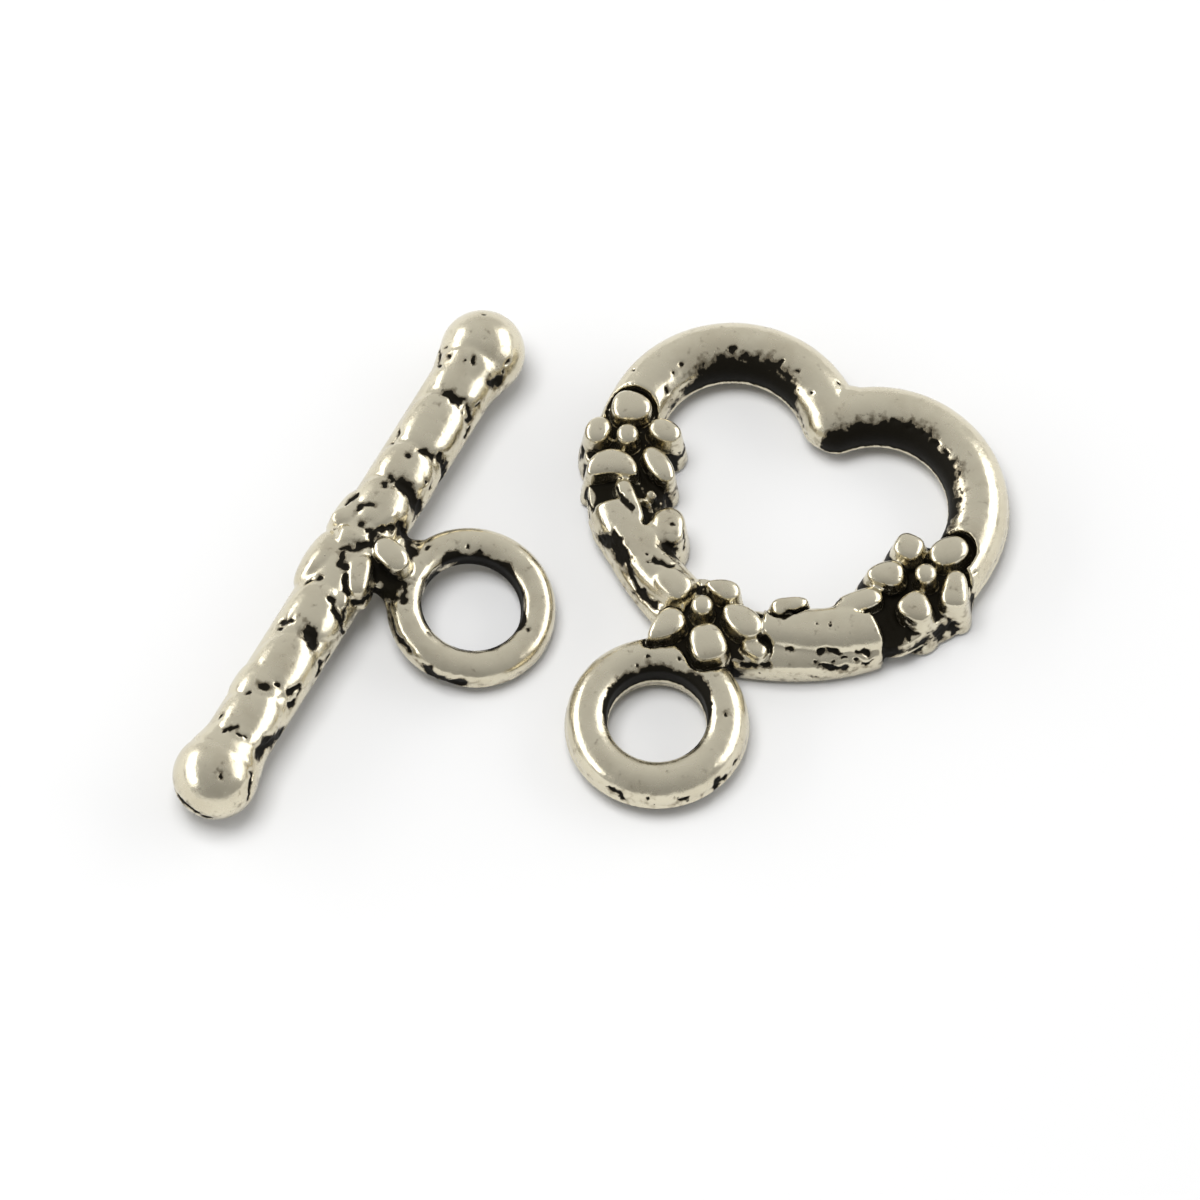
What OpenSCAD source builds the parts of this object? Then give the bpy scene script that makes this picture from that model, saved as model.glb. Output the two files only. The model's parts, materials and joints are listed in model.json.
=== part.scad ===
// Toggle clasp: a heart-shaped ring with a flower on each flank and one at its bottom point,
// and a bar with a ball at each end. Each half is one casting and has an eye for the strand's end.
// Lengths are millimetres. Both halves lie on the plane z = 0, and the heart's axis runs along +Y.

/* [Heart ring] */
// Diameter of the heart's round tube
tube_d = 2.08; // [1.8:0.02:2.4]
// Angle between the heart's axis and each leg at the bottom point
leg_angle = 76; // [72:1:80]
// Bend radius of the legs, on the tube's middle line
leg_bend = 11; // [9.5:0.1:12.5]
// Turn of each leg, in degrees
leg_turn = 19; // [15:1:23]
// Bend radius of the flanks, on the tube's middle line
flank_bend = 6.7; // [6.2:0.1:7.4]
// Turn of each flank, in degrees
flank_turn = 61.5; // [58:0.5:65]
// Bend radius of the lobes, on the tube's middle line
lobe_bend = 3.6; // [3.3:0.1:4]
// Depth of the flat on the underside, on which the ring lies
flat_depth = 0.04; // [0.03:0.01:0.2]

/* [Eye of the ring] */
// Diameter of the hole
ring_eye_hole = 3.4; // [2.8:0.05:3.8]
// Thickness of the wire
ring_eye_wire = 1.56; // [1.3:0.02:1.8]
// Length of the straight wall inside the hole
ring_eye_wall = 0.7; // [0.4:0.05:1]
// Distance from the heart's bottom point to the middle of the hole
ring_eye_reach = 3.65; // [3.4:0.05:3.9]
// How far the eye sits to the left of the heart's axis
ring_eye_left = 0.19; // [0:0.01:0.4]

/* [Flowers of the ring] */
// Diameter over the petals
flower_d = 3.7; // [3.2:0.05:4]
// Height of the flowers' beads above the tube
flower_rise = 0.42; // [0.3:0.02:0.6]
// Diameter of a flower's bead
bead_d = 0.86; // [0.7:0.02:1]
// Height of the side flowers' beads above the heart's bottom point
side_flower_y = 5.35; // [5:0.05:5.8]
// How far the side flowers sit inwards of the tube's middle line
side_flower_inset = 0.3; // [0:0.05:0.5]
// How far the bottom flower sits inside the heart's bottom point
bottom_flower_y = 0.62; // [0.4:0.02:0.9]
// How far the bottom flower sits to the left of the axis
bottom_flower_shift = 0.45; // [0:0.05:0.7]

/* [Leaves of the ring] */
// Thickness of the leaf sleeve around each leg
sleeve_d = 2.26; // [2.2:0.02:2.5]
// How far the sleeve's middle line stands inside the leg's
sleeve_inset = 0.12; // [0.06:0.02:0.3]
// Width of the small leaves and lobes that end the sleeves
lobe_leaf_d = 0.9; // [0.7:0.05:1.1]

/* [Toggle bar] */
// Length over the two balls
bar_len = 22; // [19:0.5:25]
// Diameter of the end balls
ball_d = 3; // [2.8:0.02:3.4]
// Diameter of the rod under its leaf scales
rod_d = 2.16; // [1.9:0.02:2.4]
// Thickness of the leaf scales over the rod
scale_rise = 0.13; // [0.08:0.01:0.2]
// Slant of the leaf scales across the rod, in degrees
scale_slant = 13; // [0:1:20]
// Diameter of the worn flower at the middle of the bar
bar_flower_d = 3.1; // [2.7:0.1:3.4]
// Height of that flower's middle above the rod
bar_flower_rise = 0.3; // [0.2:0.02:0.42]

/* [Eye of the bar] */
// Diameter of the hole
bar_eye_hole = 3.46; // [2.9:0.02:3.8]
// Thickness of the wire
bar_eye_wire = 1.2; // [1:0.02:1.4]
// Length of the straight wall inside the hole
bar_eye_wall = 0.6; // [0.3:0.05:0.8]
// Distance from the rod's axis to the middle of the hole
bar_eye_reach = 4.5; // [4.2:0.05:4.8]
// How far the eye sits past the middle of the bar
bar_eye_shift = 0.9; // [0:0.05:1.2]
// Width of the neck between the rod and the eye
neck_w = 1.7; // [1.4:0.05:2]

/* [Place of the bar] */
// Distance from the heart's axis to the middle of the bar
bar_left = 12.54; // [12:0.02:16]
// Distance of the bar's middle below the heart's bottom point
bar_below = 3.21; // [1:0.01:5]
// Turn of the bar away from the heart's axis, in degrees
bar_turn = 2.8; // [0:0.1:6]

/* [Hidden] */
$fn = 48;
metal = [0.74, 0.73, 0.68];

// Middle lines of the heart's right half. A point of each arc stands at minus the tube's heading there.
function leftward(heading) = [-cos(heading), sin(heading)];
flank_heading = leg_angle - leg_turn;
lobe_heading = flank_heading - flank_turn;
leg_c = leg_bend * leftward(leg_angle);
flank_c = leg_c - (leg_bend - flank_bend) * leftward(flank_heading);
lobe_c = flank_c - (flank_bend - lobe_bend) * leftward(lobe_heading);
cleft_polar = acos(-lobe_c.x / lobe_bend);
cleft_y = lobe_c.y + lobe_bend * sin(cleft_polar);
// Bends that meet stop a little short of their meeting point, inside a ball that stands this much proud
// of their ends: in line they stop by line_gap, and at the mirror plane by corner_gap
knuckle_rise = 0.02;
line_gap = 0.08;
corner_gap = tube_d / 2 / tan(leg_angle) + 0.04;
function knuckle_d(d, gap) = 2 * (norm([d / 2, gap]) + knuckle_rise);
function degrees(gap, bend) = gap / bend * 180 / PI;

// Heights
tube_z = tube_d / 2 - flat_depth;
sleeve_lift = (sleeve_d - tube_d) / 2;
bead_z = tube_z + tube_d / 2 + flower_rise - bead_d / 2;
rod_z = ball_d / 2;

// Middle radii of the eyes' rings, from the hole and the straight wall inside it
function eye_bend(hole, wire, wall) = hole / 2 + sqrt(pow(wire / 2, 2) - pow(wall / 2, 2));
ring_eye_bend = eye_bend(ring_eye_hole, ring_eye_wire, ring_eye_wall);
bar_eye_bend = eye_bend(bar_eye_hole, bar_eye_wire, bar_eye_wall);
// The bar rests on its balls and on the far edge of its eye, which tips it by this angle
bar_tip = asin((ball_d - bar_eye_wire) / 2 / (bar_eye_reach + bar_eye_bend));

// Side flowers stand on the flank's middle line at their own height, moved inwards
side_flower_x = flank_c.x + sqrt(pow(flank_bend, 2) - pow(side_flower_y - flank_c.y, 2)) - side_flower_inset;

// Petals: angle from +X, then reach, length, width and drop of the outer end as shares of the flower's radius
P_ANGLE = 0;
P_REACH = 1;
P_LENGTH = 2;
P_WIDTH = 3;
P_DROP = 4;
side_petals = [
    [77, 0.68, 0.76, 0.74, 0.06],
    [146, 0.68, 0.74, 0.66, 0.34],
    [-163, 0.76, 0.88, 0.62, 0.46],
    [-80, 0.74, 1.00, 0.78, 0.24],
    [-12, 0.62, 0.84, 0.70, 0.48],
];
bottom_petals = [
    [72, 0.54, 0.70, 0.66, 0.40],
    [10, 0.76, 0.84, 0.70, 0.14],
    [-56, 0.78, 1.04, 0.72, 0.22],
    [-131, 0.70, 0.76, 0.72, 0.24],
    [160, 0.78, 0.80, 0.70, 0.08],
];
bar_petals = [
    [-68, 0.66, 0.96, 0.72, 0.08],
    [-8, 0.72, 0.86, 0.80, 0.44],
    [62, 0.74, 0.92, 0.70, 0.08],
    [128, 0.62, 0.80, 0.72, 0.34],
    [-166, 0.50, 0.80, 0.80, 0.30],
];

// Leaf sleeves: start and end of the sleeve as shares of the leg's and of the flank's turn
sleeve_start = 0.25;
sleeve_end = 0.30;

// Small leaves around the sleeves, as shares of the side flower's place: x, y, then length as a share of
// their own width, heading from +Y in degrees, and height of the middle as a share of the tube's diameter
L_X = 0;
L_Y = 1;
L_LENGTH = 2;
L_HEADING = 3;
L_HEIGHT = 4;
small_leaves = [
    [-0.84, 0.60, 1.9, 8, 0.72],
    [-0.53, 0.55, 1.7, -20, 0.70],
    [-0.41, 0.31, 1.6, -62, 0.66],
    [0.33, 0.36, 2.2, 62, 0.60],
    [0.70, 0.62, 2.4, 58, 0.68],
];

// Leaf scales along the rod: middle and length as shares of half the distance between the balls, and side
S_PLACE = 0;
S_LENGTH = 1;
S_SIDE = 2;
rod_scales = [
    [-0.73, 0.25, 1],
    [-0.49, 0.25, -1],
    [-0.25, 0.26, 1],
    [0.27, 0.20, -1],
    [0.45, 0.20, 1],
    [0.65, 0.25, -1],
    [0.83, 0.20, 1],
];

// Size and place of the whole, so that the origin is at the middle of its bottom
ball_out = (bar_len - ball_d) / 2;
function petal_out(p, d) = d / 2 * (p[P_REACH] + p[P_LENGTH] / 2) * cos(p[P_ANGLE]);
high_x = max(lobe_c.x + lobe_bend + tube_d / 2, flank_c.x + flank_bend + tube_d / 2,
    side_flower_x + max([for (p = side_petals) petal_out(p, flower_d)]));
low_x = -bar_left - ball_out * sin(bar_turn) - ball_d / 2;
high_y = max(lobe_c.y + lobe_bend + tube_d / 2, ball_out * cos(bar_turn) - bar_below + ball_d / 2);
low_y = min(-bar_below - ball_out * cos(bar_turn) - ball_d / 2,
    -ring_eye_reach - ring_eye_bend - ring_eye_wire / 2);
middle = [(high_x + low_x) / 2, (high_y + low_y) / 2, 0];

// A round bar along +X with ball ends, of the given length over them
module pill(length, d) {
    straight = max(length - d, 0.01);
    rotate([0, 90, 0]) {
        for (end = [-1, 1])
            translate([0, 0, end * straight / 2]) sphere(d = d);
        cylinder(d = d, h = straight, center = true);
    }
}

// One petal about the flower's middle: a pill that points outwards and dips
module petal(p, d) {
    reach = p[P_REACH] * d / 2;
    dip = atan2(p[P_DROP], p[P_LENGTH]);
    rotate([0, 0, p[P_ANGLE]]) translate([reach, 0, -p[P_DROP] * d / 4])
        rotate([0, dip, 0]) pill(p[P_LENGTH] * d / 2, p[P_WIDTH] * d / 2);
}

// Five petals around a bead. The petals' tops stand a little lower than the bead's.
module flower(petals, d, bead) {
    sphere(d = bead);
    for (p = petals)
        translate([0, 0, bead / 2 - p[P_WIDTH] * d / 4 - bead / 8]) petal(p, d);
}

// A bent round bar about centre c, between two headings of its middle line, less a gap at each end
module bent(c, bend, from, to, d, from_gap = line_gap, to_gap = line_gap) {
    start = from - degrees(from_gap, bend);
    end = to + degrees(to_gap, bend);
    translate([c.x, c.y, 0]) rotate([0, 0, -start]) rotate_extrude(angle = start - end, $fn = 144)
        translate([bend, 0]) circle(d = d);
}

// The ball that joins two bends, or ends one, where a bend about c has this heading. Its poles lie in the bends.
module knuckle(c, bend, heading, d) {
    translate(concat(c - bend * leftward(heading), 0)) rotate([-90, 0, -heading])
        sphere(d = knuckle_d(d, line_gap));
}

// The heart's right half, from the bottom point to the cleft
module half_heart() {
    bent(leg_c, leg_bend, leg_angle, flank_heading, tube_d, from_gap = corner_gap);
    knuckle(flank_c, flank_bend, flank_heading, tube_d);
    bent(flank_c, flank_bend, flank_heading, lobe_heading, tube_d);
    knuckle(lobe_c, lobe_bend, lobe_heading, tube_d);
    bent(lobe_c, lobe_bend, lobe_heading, -cleft_polar, tube_d, to_gap = corner_gap);
}

// The heart's round tube: two halves, joined by a ball at the bottom point and one in the cleft
module heart_tube() {
    half_heart();
    mirror([1, 0, 0]) half_heart();
    for (y = [0, cleft_y])
        translate([0, y, 0]) rotate([90, 0, 90]) sphere(d = knuckle_d(tube_d, corner_gap));
}

// The leaf sleeve of the right leg: a thicker bent bar with ball ends
module sleeve() {
    start = leg_angle - leg_turn * sleeve_start;
    end = flank_heading - flank_turn * sleeve_end;
    translate(concat(sleeve_inset * leftward(flank_heading), sleeve_lift)) {
        knuckle(leg_c, leg_bend, start, sleeve_d);
        bent(leg_c, leg_bend, start, flank_heading, sleeve_d);
        knuckle(flank_c, flank_bend, flank_heading, sleeve_d);
        bent(flank_c, flank_bend, flank_heading, end, sleeve_d);
        knuckle(flank_c, flank_bend, end, sleeve_d);
    }
}

// The round wire of an eye, about the hole's middle
module eye_ring(bend, wire) {
    rotate_extrude($fn = 96) translate([bend, 0]) circle(d = wire);
}

// What is cut from a casting for an eye's hole: it leaves the straight wall inside the wire
module eye_hole(hole, wire) {
    cylinder(d = hole, h = 4 * wire, center = true, $fn = 96);
}

module heart_ring() {
    color(metal) translate(-middle) difference() {
        union() {
            translate([0, 0, tube_z]) {
                heart_tube();
                sleeve();
                mirror([1, 0, 0]) sleeve();
                translate([-ring_eye_left, -ring_eye_reach, 0]) eye_ring(ring_eye_bend, ring_eye_wire);
            }
            translate([0, 0, bead_z]) {
                translate([side_flower_x, side_flower_y, 0]) flower(side_petals, flower_d, bead_d);
                translate([-side_flower_x, side_flower_y, 0]) mirror([1, 0, 0])
                    flower(side_petals, flower_d, bead_d);
                translate([-bottom_flower_shift, bottom_flower_y, 0]) flower(bottom_petals, flower_d, bead_d);
            }
            for (l = small_leaves)
                translate([l[L_X] * side_flower_x, l[L_Y] * side_flower_y, l[L_HEIGHT] * tube_d])
                    rotate([0, 0, 90 - l[L_HEADING]]) pill(l[L_LENGTH] * lobe_leaf_d, lobe_leaf_d);
        }
        translate([-ring_eye_left, -ring_eye_reach, tube_z]) eye_hole(ring_eye_hole, ring_eye_wire);
        translate([-flank_bend * 2, -ring_eye_reach * 2, -tube_d]) cube([flank_bend * 4, flank_bend * 4, tube_d]);
    }
}

// Leaf scales: short slanting barrels around the rod
module rod_scale(s) {
    length = s[S_LENGTH] * ball_out;
    bulge = rod_d / 2 + scale_rise;
    // A barrel's side is the arc through its middle and its two rims
    rim = rod_d / 2 - scale_rise / 2;
    arc_r = (pow(length / 2, 2) + pow(bulge - rim, 2)) / 2 / (bulge - rim);
    translate([0, s[S_PLACE] * ball_out, 0]) rotate([90, 0, s[S_SIDE] * scale_slant])
        rotate_extrude() intersection() {
            translate([bulge - arc_r, 0]) circle(r = arc_r, $fn = 180);
            translate([0, -length / 2]) square([bulge + 1, length]);
        }
}

module toggle_bar() {
    color(metal) translate([-bar_left, -bar_below, rod_z] - middle) rotate([0, 0, -bar_turn]) difference() {
        union() {
            rotate([90, 0, 0]) cylinder(d = rod_d, h = 2 * ball_out, center = true);
            for (end = [-1, 1])
                translate([0, end * ball_out, 0]) sphere(d = ball_d);
            for (s = rod_scales)
                rod_scale(s);
            translate([0, 0, rod_d / 2 + bar_flower_rise - bead_d / 2]) flower(bar_petals, bar_flower_d, bead_d);
            rotate([0, bar_tip, 0]) {
                translate([bar_eye_reach, bar_eye_shift, 0]) eye_ring(bar_eye_bend, bar_eye_wire);
                translate([0, bar_eye_shift, 0]) rotate([0, 90, 0])
                    cylinder(d = neck_w, h = bar_eye_reach - bar_eye_hole / 2);
            }
        }
        rotate([0, bar_tip, 0]) translate([bar_eye_reach, bar_eye_shift, 0]) eye_hole(bar_eye_hole, bar_eye_wire);
    }
}

heart_ring();
toggle_bar();
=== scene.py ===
"""Antique silver toggle clasp: a heart-shaped ring and a bar with ball ends, dressed over their frame.

Each half is one casting. Its forms are surfaces worked out in millimetres: bent tubes, petals, leaves and
balls. They are fused into one skin, carved, and blackened wherever polishing didn't reach and as painted
shade.
"""

import json
import logging
from collections.abc import Callable
from dataclasses import dataclass
from enum import Enum

import bpy
import numpy as np
from mathutils import Matrix, Vector

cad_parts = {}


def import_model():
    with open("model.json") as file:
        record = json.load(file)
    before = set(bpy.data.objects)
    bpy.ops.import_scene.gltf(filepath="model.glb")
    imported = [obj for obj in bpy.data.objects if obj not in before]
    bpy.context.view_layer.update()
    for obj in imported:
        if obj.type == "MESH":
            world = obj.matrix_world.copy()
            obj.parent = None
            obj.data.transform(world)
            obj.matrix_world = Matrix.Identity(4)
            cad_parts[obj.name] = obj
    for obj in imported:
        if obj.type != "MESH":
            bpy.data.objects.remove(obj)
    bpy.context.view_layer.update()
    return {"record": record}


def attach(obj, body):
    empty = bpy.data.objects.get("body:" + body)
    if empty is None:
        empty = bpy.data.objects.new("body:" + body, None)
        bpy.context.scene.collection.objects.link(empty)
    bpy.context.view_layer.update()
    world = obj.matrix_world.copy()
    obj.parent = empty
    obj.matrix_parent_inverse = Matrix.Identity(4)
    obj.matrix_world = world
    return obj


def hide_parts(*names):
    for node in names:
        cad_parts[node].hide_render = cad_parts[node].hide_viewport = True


LOG = logging.getLogger("toggle_clasp")
# A millimetre in metres.
MM = 0.001
# Share of a casting's height that is plain underside, where faces may be merged.
UNDERSIDE = 0.18
# Triangles that the merging leaves to a piece.
MOST_TRIANGLES = 190_000
# How far the bar's middle lies to the left of the heart's bottom point, and nearer than it, in millimetres.
BAR_LEFT = 12.44
BAR_NEARER = 3.22
# Power of the superellipse over the shoulder of a petal.
CROWN_POWER = 2.6

Plan = tuple[float, float]
Place = tuple[float, float, float]
Colour = tuple[float, float, float, float]


class Side(Enum):
    """The heart's two halves, as the sign of X in each."""

    LEFT = -1.0
    RIGHT = 1.0


def unit(angle: float | np.ndarray) -> np.ndarray:
    """Unit vector in plan at an angle in degrees from +X."""
    turn = np.radians(angle)
    return np.stack([np.cos(turn), np.sin(turn)], -1)


@dataclass(frozen=True)
class Span:
    """A stretch of values over which something goes from none to all."""

    low: float
    high: float

    def rise(self, value: np.ndarray) -> np.ndarray:
        """0 below the stretch, 1 above it, and a smooth S within."""
        t = np.clip((value - self.low) / (self.high - self.low), 0.0, 1.0)
        return t * t * (3.0 - 2.0 * t)

    def fall(self, value: np.ndarray) -> np.ndarray:
        """1 below the stretch, 0 above it, and a smooth S within."""
        return 1.0 - self.rise(value)


# The whole of a share, from none to all.
SHARE = Span(0.0, 1.0)


def ripple(points: np.ndarray, size: float, seed: int, waves: int = 28) -> np.ndarray:
    """Smooth seeded noise of about -1 to 1: the sum of plane waves in random directions.

    Each has between the fewest and the most waves to a grain.

    Args:
        points: places in millimetres, one per row.
        size: the noise's grain in millimetres.
        seed: chooses the waves.
        waves: how many waves are summed.

    Returns:
        One value per point.
    """
    fewest, most = 0.5, 1.3
    rng = np.random.default_rng(seed)
    direction = rng.normal(size=(waves, 3))
    direction /= np.linalg.norm(direction, axis=1, keepdims=True)
    count = 2.0 * np.pi / size * rng.uniform(fewest, most, (waves, 1))
    phase = rng.uniform(0.0, 2.0 * np.pi, waves)
    return np.cos(points @ (direction * count).T + phase).sum(1) / np.sqrt(waves)


@dataclass(frozen=True)
class Shell:
    """A closed form: a grid of points in millimetres. It closes around its columns and at both end rows."""

    grid: np.ndarray

    def points(self) -> np.ndarray:
        """All points of the grid, row after row."""
        return self.grid.reshape(-1, 3)

    def faces(self, first: int) -> np.ndarray:
        """Four-sided faces between neighbouring rows and columns.

        Args:
            first: the index of the form's first point.

        Returns:
            Four point indices per face.
        """
        rows, columns = self.grid.shape[:2]
        row, column = np.meshgrid(np.arange(rows - 1), np.arange(columns), indexing="ij")
        after = (column + 1) % columns
        corners = [row * columns + column, row * columns + after,
                   (row + 1) * columns + after, (row + 1) * columns + column]
        return np.stack(corners, -1).reshape(-1, 4) + first

    def turned(self, turn: np.ndarray) -> "Shell":
        """The same form turned by a 3 by 3 matrix."""
        return Shell(self.grid @ turn.T)

    def under(self, ceiling: Callable[[np.ndarray], np.ndarray]) -> "Shell":
        """The same form cut down to a ceiling.

        Args:
            ceiling: gives the greatest height at plan points.

        Returns:
            The form, with no point above the ceiling.
        """
        plan = self.grid[..., :2]
        level = np.minimum(self.grid[..., 2], ceiling(plan.reshape(-1, 2)).reshape(plan.shape[:-1]))
        return Shell(np.concatenate([plan, level[..., None]], -1))


@dataclass(frozen=True)
class Section:
    """Cross-section of a cast tube: round above, a little squarer below, with a seam where the moulds met.

    Where it has an inner wall, its inward side is cut off straight there.
    """

    half_width: float
    rise: float
    drop: float
    back_power: float = 2.45
    top_power: float = 2.0
    inner_wall: float | None = None
    seam: float = 0.07
    seam_height: float = -0.28
    seam_width: float = 0.08

    def outline(self, around: np.ndarray) -> tuple[np.ndarray, np.ndarray]:
        """The section's edge: half a superellipse above and another below, with a bell-shaped ridge as seam.

        Args:
            around: angles in radians, from outward to upward.

        Returns:
            The outward and the upward distance at each angle.
        """
        c, s = np.cos(around), np.sin(around)
        power = np.where(s >= 0.0, self.top_power, self.back_power)
        out = self.half_width * np.sign(c) * np.abs(c) ** (2.0 / power)
        up = np.where(s >= 0.0, self.rise, self.drop) * np.sign(s) * np.abs(s) ** (2.0 / power)
        if self.inner_wall is not None:
            out = np.maximum(out, -self.inner_wall)
        return out + np.sign(c) * self.seam * np.exp(-((up - self.seam_height) / self.seam_width) ** 2), up


@dataclass(frozen=True)
class Bend:
    """One bend of a middle line: its centre, radius, headings from +Y in degrees, and where it starts."""

    centre: np.ndarray
    radius: float
    start: float
    end: float
    along: float

    def length(self) -> float:
        """Length of the bend's arc."""
        return self.radius * np.radians(self.start - self.end)


@dataclass(frozen=True)
class HeartLine:
    """Middle line of the heart, from its bottom point over a leg, a flank and a lobe to the cleft."""

    leg_angle: float = 76.0
    leg_bend: float = 11.0
    leg_turn: float = 19.0
    flank_bend: float = 6.7
    flank_turn: float = 61.5
    lobe_bend: float = 3.6

    @staticmethod
    def leftward(heading: float | np.ndarray) -> np.ndarray:
        """Unit vector to the left of a heading."""
        return -unit(-np.asarray(heading))

    def bends(self) -> list[Bend]:
        """The right half's three bends, each tangent to the one before. The last ends on the heart's axis.

        Returns:
            The bends of the leg, the flank and the lobe.
        """
        flank_heading = self.leg_angle - self.leg_turn
        lobe_heading = flank_heading - self.flank_turn
        leg_c = self.leg_bend * self.leftward(self.leg_angle)
        flank_c = leg_c - (self.leg_bend - self.flank_bend) * self.leftward(flank_heading)
        lobe_c = flank_c - (self.flank_bend - self.lobe_bend) * self.leftward(lobe_heading)
        cleft_heading = -np.degrees(np.arccos(-lobe_c[0] / self.lobe_bend))
        leg = Bend(leg_c, self.leg_bend, self.leg_angle, flank_heading, 0.0)
        flank = Bend(flank_c, self.flank_bend, flank_heading, lobe_heading, leg.length())
        lobe = Bend(lobe_c, self.lobe_bend, lobe_heading, cleft_heading, flank.along + flank.length())
        return [leg, flank, lobe]

    def length(self) -> float:
        """Length of one half, from the bottom point to the cleft."""
        last = self.bends()[-1]
        return last.along + last.length()

    def at(self, along: np.ndarray, side: Side) -> tuple[np.ndarray, np.ndarray]:
        """Points of the middle line, and the outward direction at each.

        Args:
            along: distances from the bottom point. Beyond either end the line goes straight on.
            side: which half.

        Returns:
            The plan points and the plan unit vectors that point out of the heart.
        """
        inside = np.clip(along, 0.0, self.length())
        heading = np.zeros_like(inside)
        centre = np.zeros(inside.shape + (2,))
        radius = np.zeros_like(inside)
        for bend in self.bends():
            here = inside >= bend.along
            heading[here] = bend.start - np.degrees((inside[here] - bend.along) / bend.radius)
            centre[here] = bend.centre
            radius[here] = bend.radius
        outward = -self.leftward(heading)
        ahead = np.stack([-outward[:, 1], outward[:, 0]], 1)
        spot = centre + radius[:, None] * outward + (along - inside)[:, None] * ahead
        mirror = np.array([side.value, 1.0])
        return spot * mirror, outward * mirror

    def locate(self, plan: np.ndarray) -> tuple[np.ndarray, np.ndarray]:
        """Where plan points lie along the heart.

        Args:
            plan: the points, one per row.

        Returns:
            The distance of each along the nearer half of the middle line, and outward from it.
        """
        spot = plan * np.stack([np.where(plan[:, 0] < 0.0, -1.0, 1.0), np.ones(len(plan))], 1)
        nearest = np.full(len(spot), np.inf)
        along = np.zeros(len(spot))
        outward = np.zeros(len(spot))
        for bend in self.bends():
            arm = spot - bend.centre
            heading = np.clip(np.degrees(np.arctan2(-arm[:, 1], arm[:, 0])), bend.end, bend.start)
            gap = np.linalg.norm(arm + bend.radius * self.leftward(heading), axis=1)
            here = gap < nearest
            nearest[here] = gap[here]
            along[here] = (bend.along + bend.radius * np.radians(bend.start - heading))[here]
            outward[here] = (np.linalg.norm(arm, axis=1) - bend.radius)[here]
        return along, outward


@dataclass(frozen=True)
class Bed:
    """A stretch of the heart that lies low, so that flowers and leaf tips stand out of it."""

    start: float
    end: float

    def depth(self, along: np.ndarray) -> np.ndarray:
        """How far inside the stretch places along the heart lie, negative outside it."""
        return np.minimum(along - self.start, self.end - along)


@dataclass(frozen=True)
class HeartTube:
    """A tube along one half of the heart, with round ends: the section carried along the middle line.

    It stands outside the line by shift at its start and by end_shift at its end, and its end is wider than
    its start by flare. Its round ends stand out by blunt, as a share of its half width.
    """

    side: Side
    section: Section
    start: float
    end: float
    shift: float = 0.0
    end_shift: float = 0.0
    flare: float = 0.0
    blunt: float = 1.0

    def shell(self, line: HeartLine, height: float, step: float = 0.07, end_rings: int = 14,
              sides: int = 96) -> Shell:
        """The closed tube.

        Args:
            line: the heart's middle line.
            height: height of the section's middle.
            step: distance between rings.
            end_rings: number of rings over each round end.
            sides: number of points around each ring.

        Returns:
            The tube's surface.
        """
        angle = np.linspace(0.0, np.pi / 2.0, end_rings)
        reach = self.section.half_width * self.blunt * np.cos(angle)
        straight = np.append(np.arange(self.start, self.end, step), self.end)
        along = np.concatenate([self.start - reach, straight, (self.end + reach)[::-1]])
        share = np.concatenate([np.sin(angle), np.ones(len(straight)), np.sin(angle)[::-1]])[:, None]
        part = np.clip((along - self.start) / (self.end - self.start), 0.0, 1.0)[:, None]
        out, up = self.section.outline(np.linspace(0.0, 2.0 * np.pi, sides, endpoint=False))
        away = self.shift + part * (self.end_shift - self.shift) + share * (1.0 + part * self.flare) * out
        spot, outward = line.at(along, self.side)
        flat = spot[:, None, :] + away[..., None] * outward[:, None, :]
        return Shell(np.concatenate([flat, (height + share * up)[..., None]], -1))


def eye_ring(section: Section, bend: float, centre: Place, sides: int = 64, rings: int = 160) -> Shell:
    """The ring of an eye: its section carried around a circle. The grid's rows go around the section.

    Args:
        section: the wire's section.
        bend: radius of the circle.
        centre: middle of the circle.
        sides: number of faces around the wire.
        rings: number of faces around the circle.

    Returns:
        The ring's surface.
    """
    turns = np.linspace(0.0, 2.0 * np.pi, rings, endpoint=False)
    out, up = section.outline(np.linspace(0.0, 2.0 * np.pi, sides + 1))
    reach = bend + out[:, None]
    ring = np.stack([reach * np.cos(turns), reach * np.sin(turns), up[:, None] * np.ones_like(turns)], -1)
    return Shell(ring + np.array(centre))


def ball(centre: Place, diameter: float, rings: int = 30, sides: int = 60) -> Shell:
    """A ball: circles of the sine of the angle from its top, at the height of the cosine.

    Args:
        centre: the ball's middle.
        diameter: its diameter.
        rings: number of circles from top to bottom.
        sides: number of points around each.

    Returns:
        The ball's surface.
    """
    down, turns = np.meshgrid(np.linspace(0.0, np.pi, rings),
                              np.linspace(0.0, 2.0 * np.pi, sides, endpoint=False), indexing="ij")
    r = diameter / 2.0
    out = r * np.sin(down)
    grid = np.stack([out * np.cos(turns), out * np.sin(turns), r * np.cos(down)], -1)
    return Shell(grid + np.array(centre))


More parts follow.
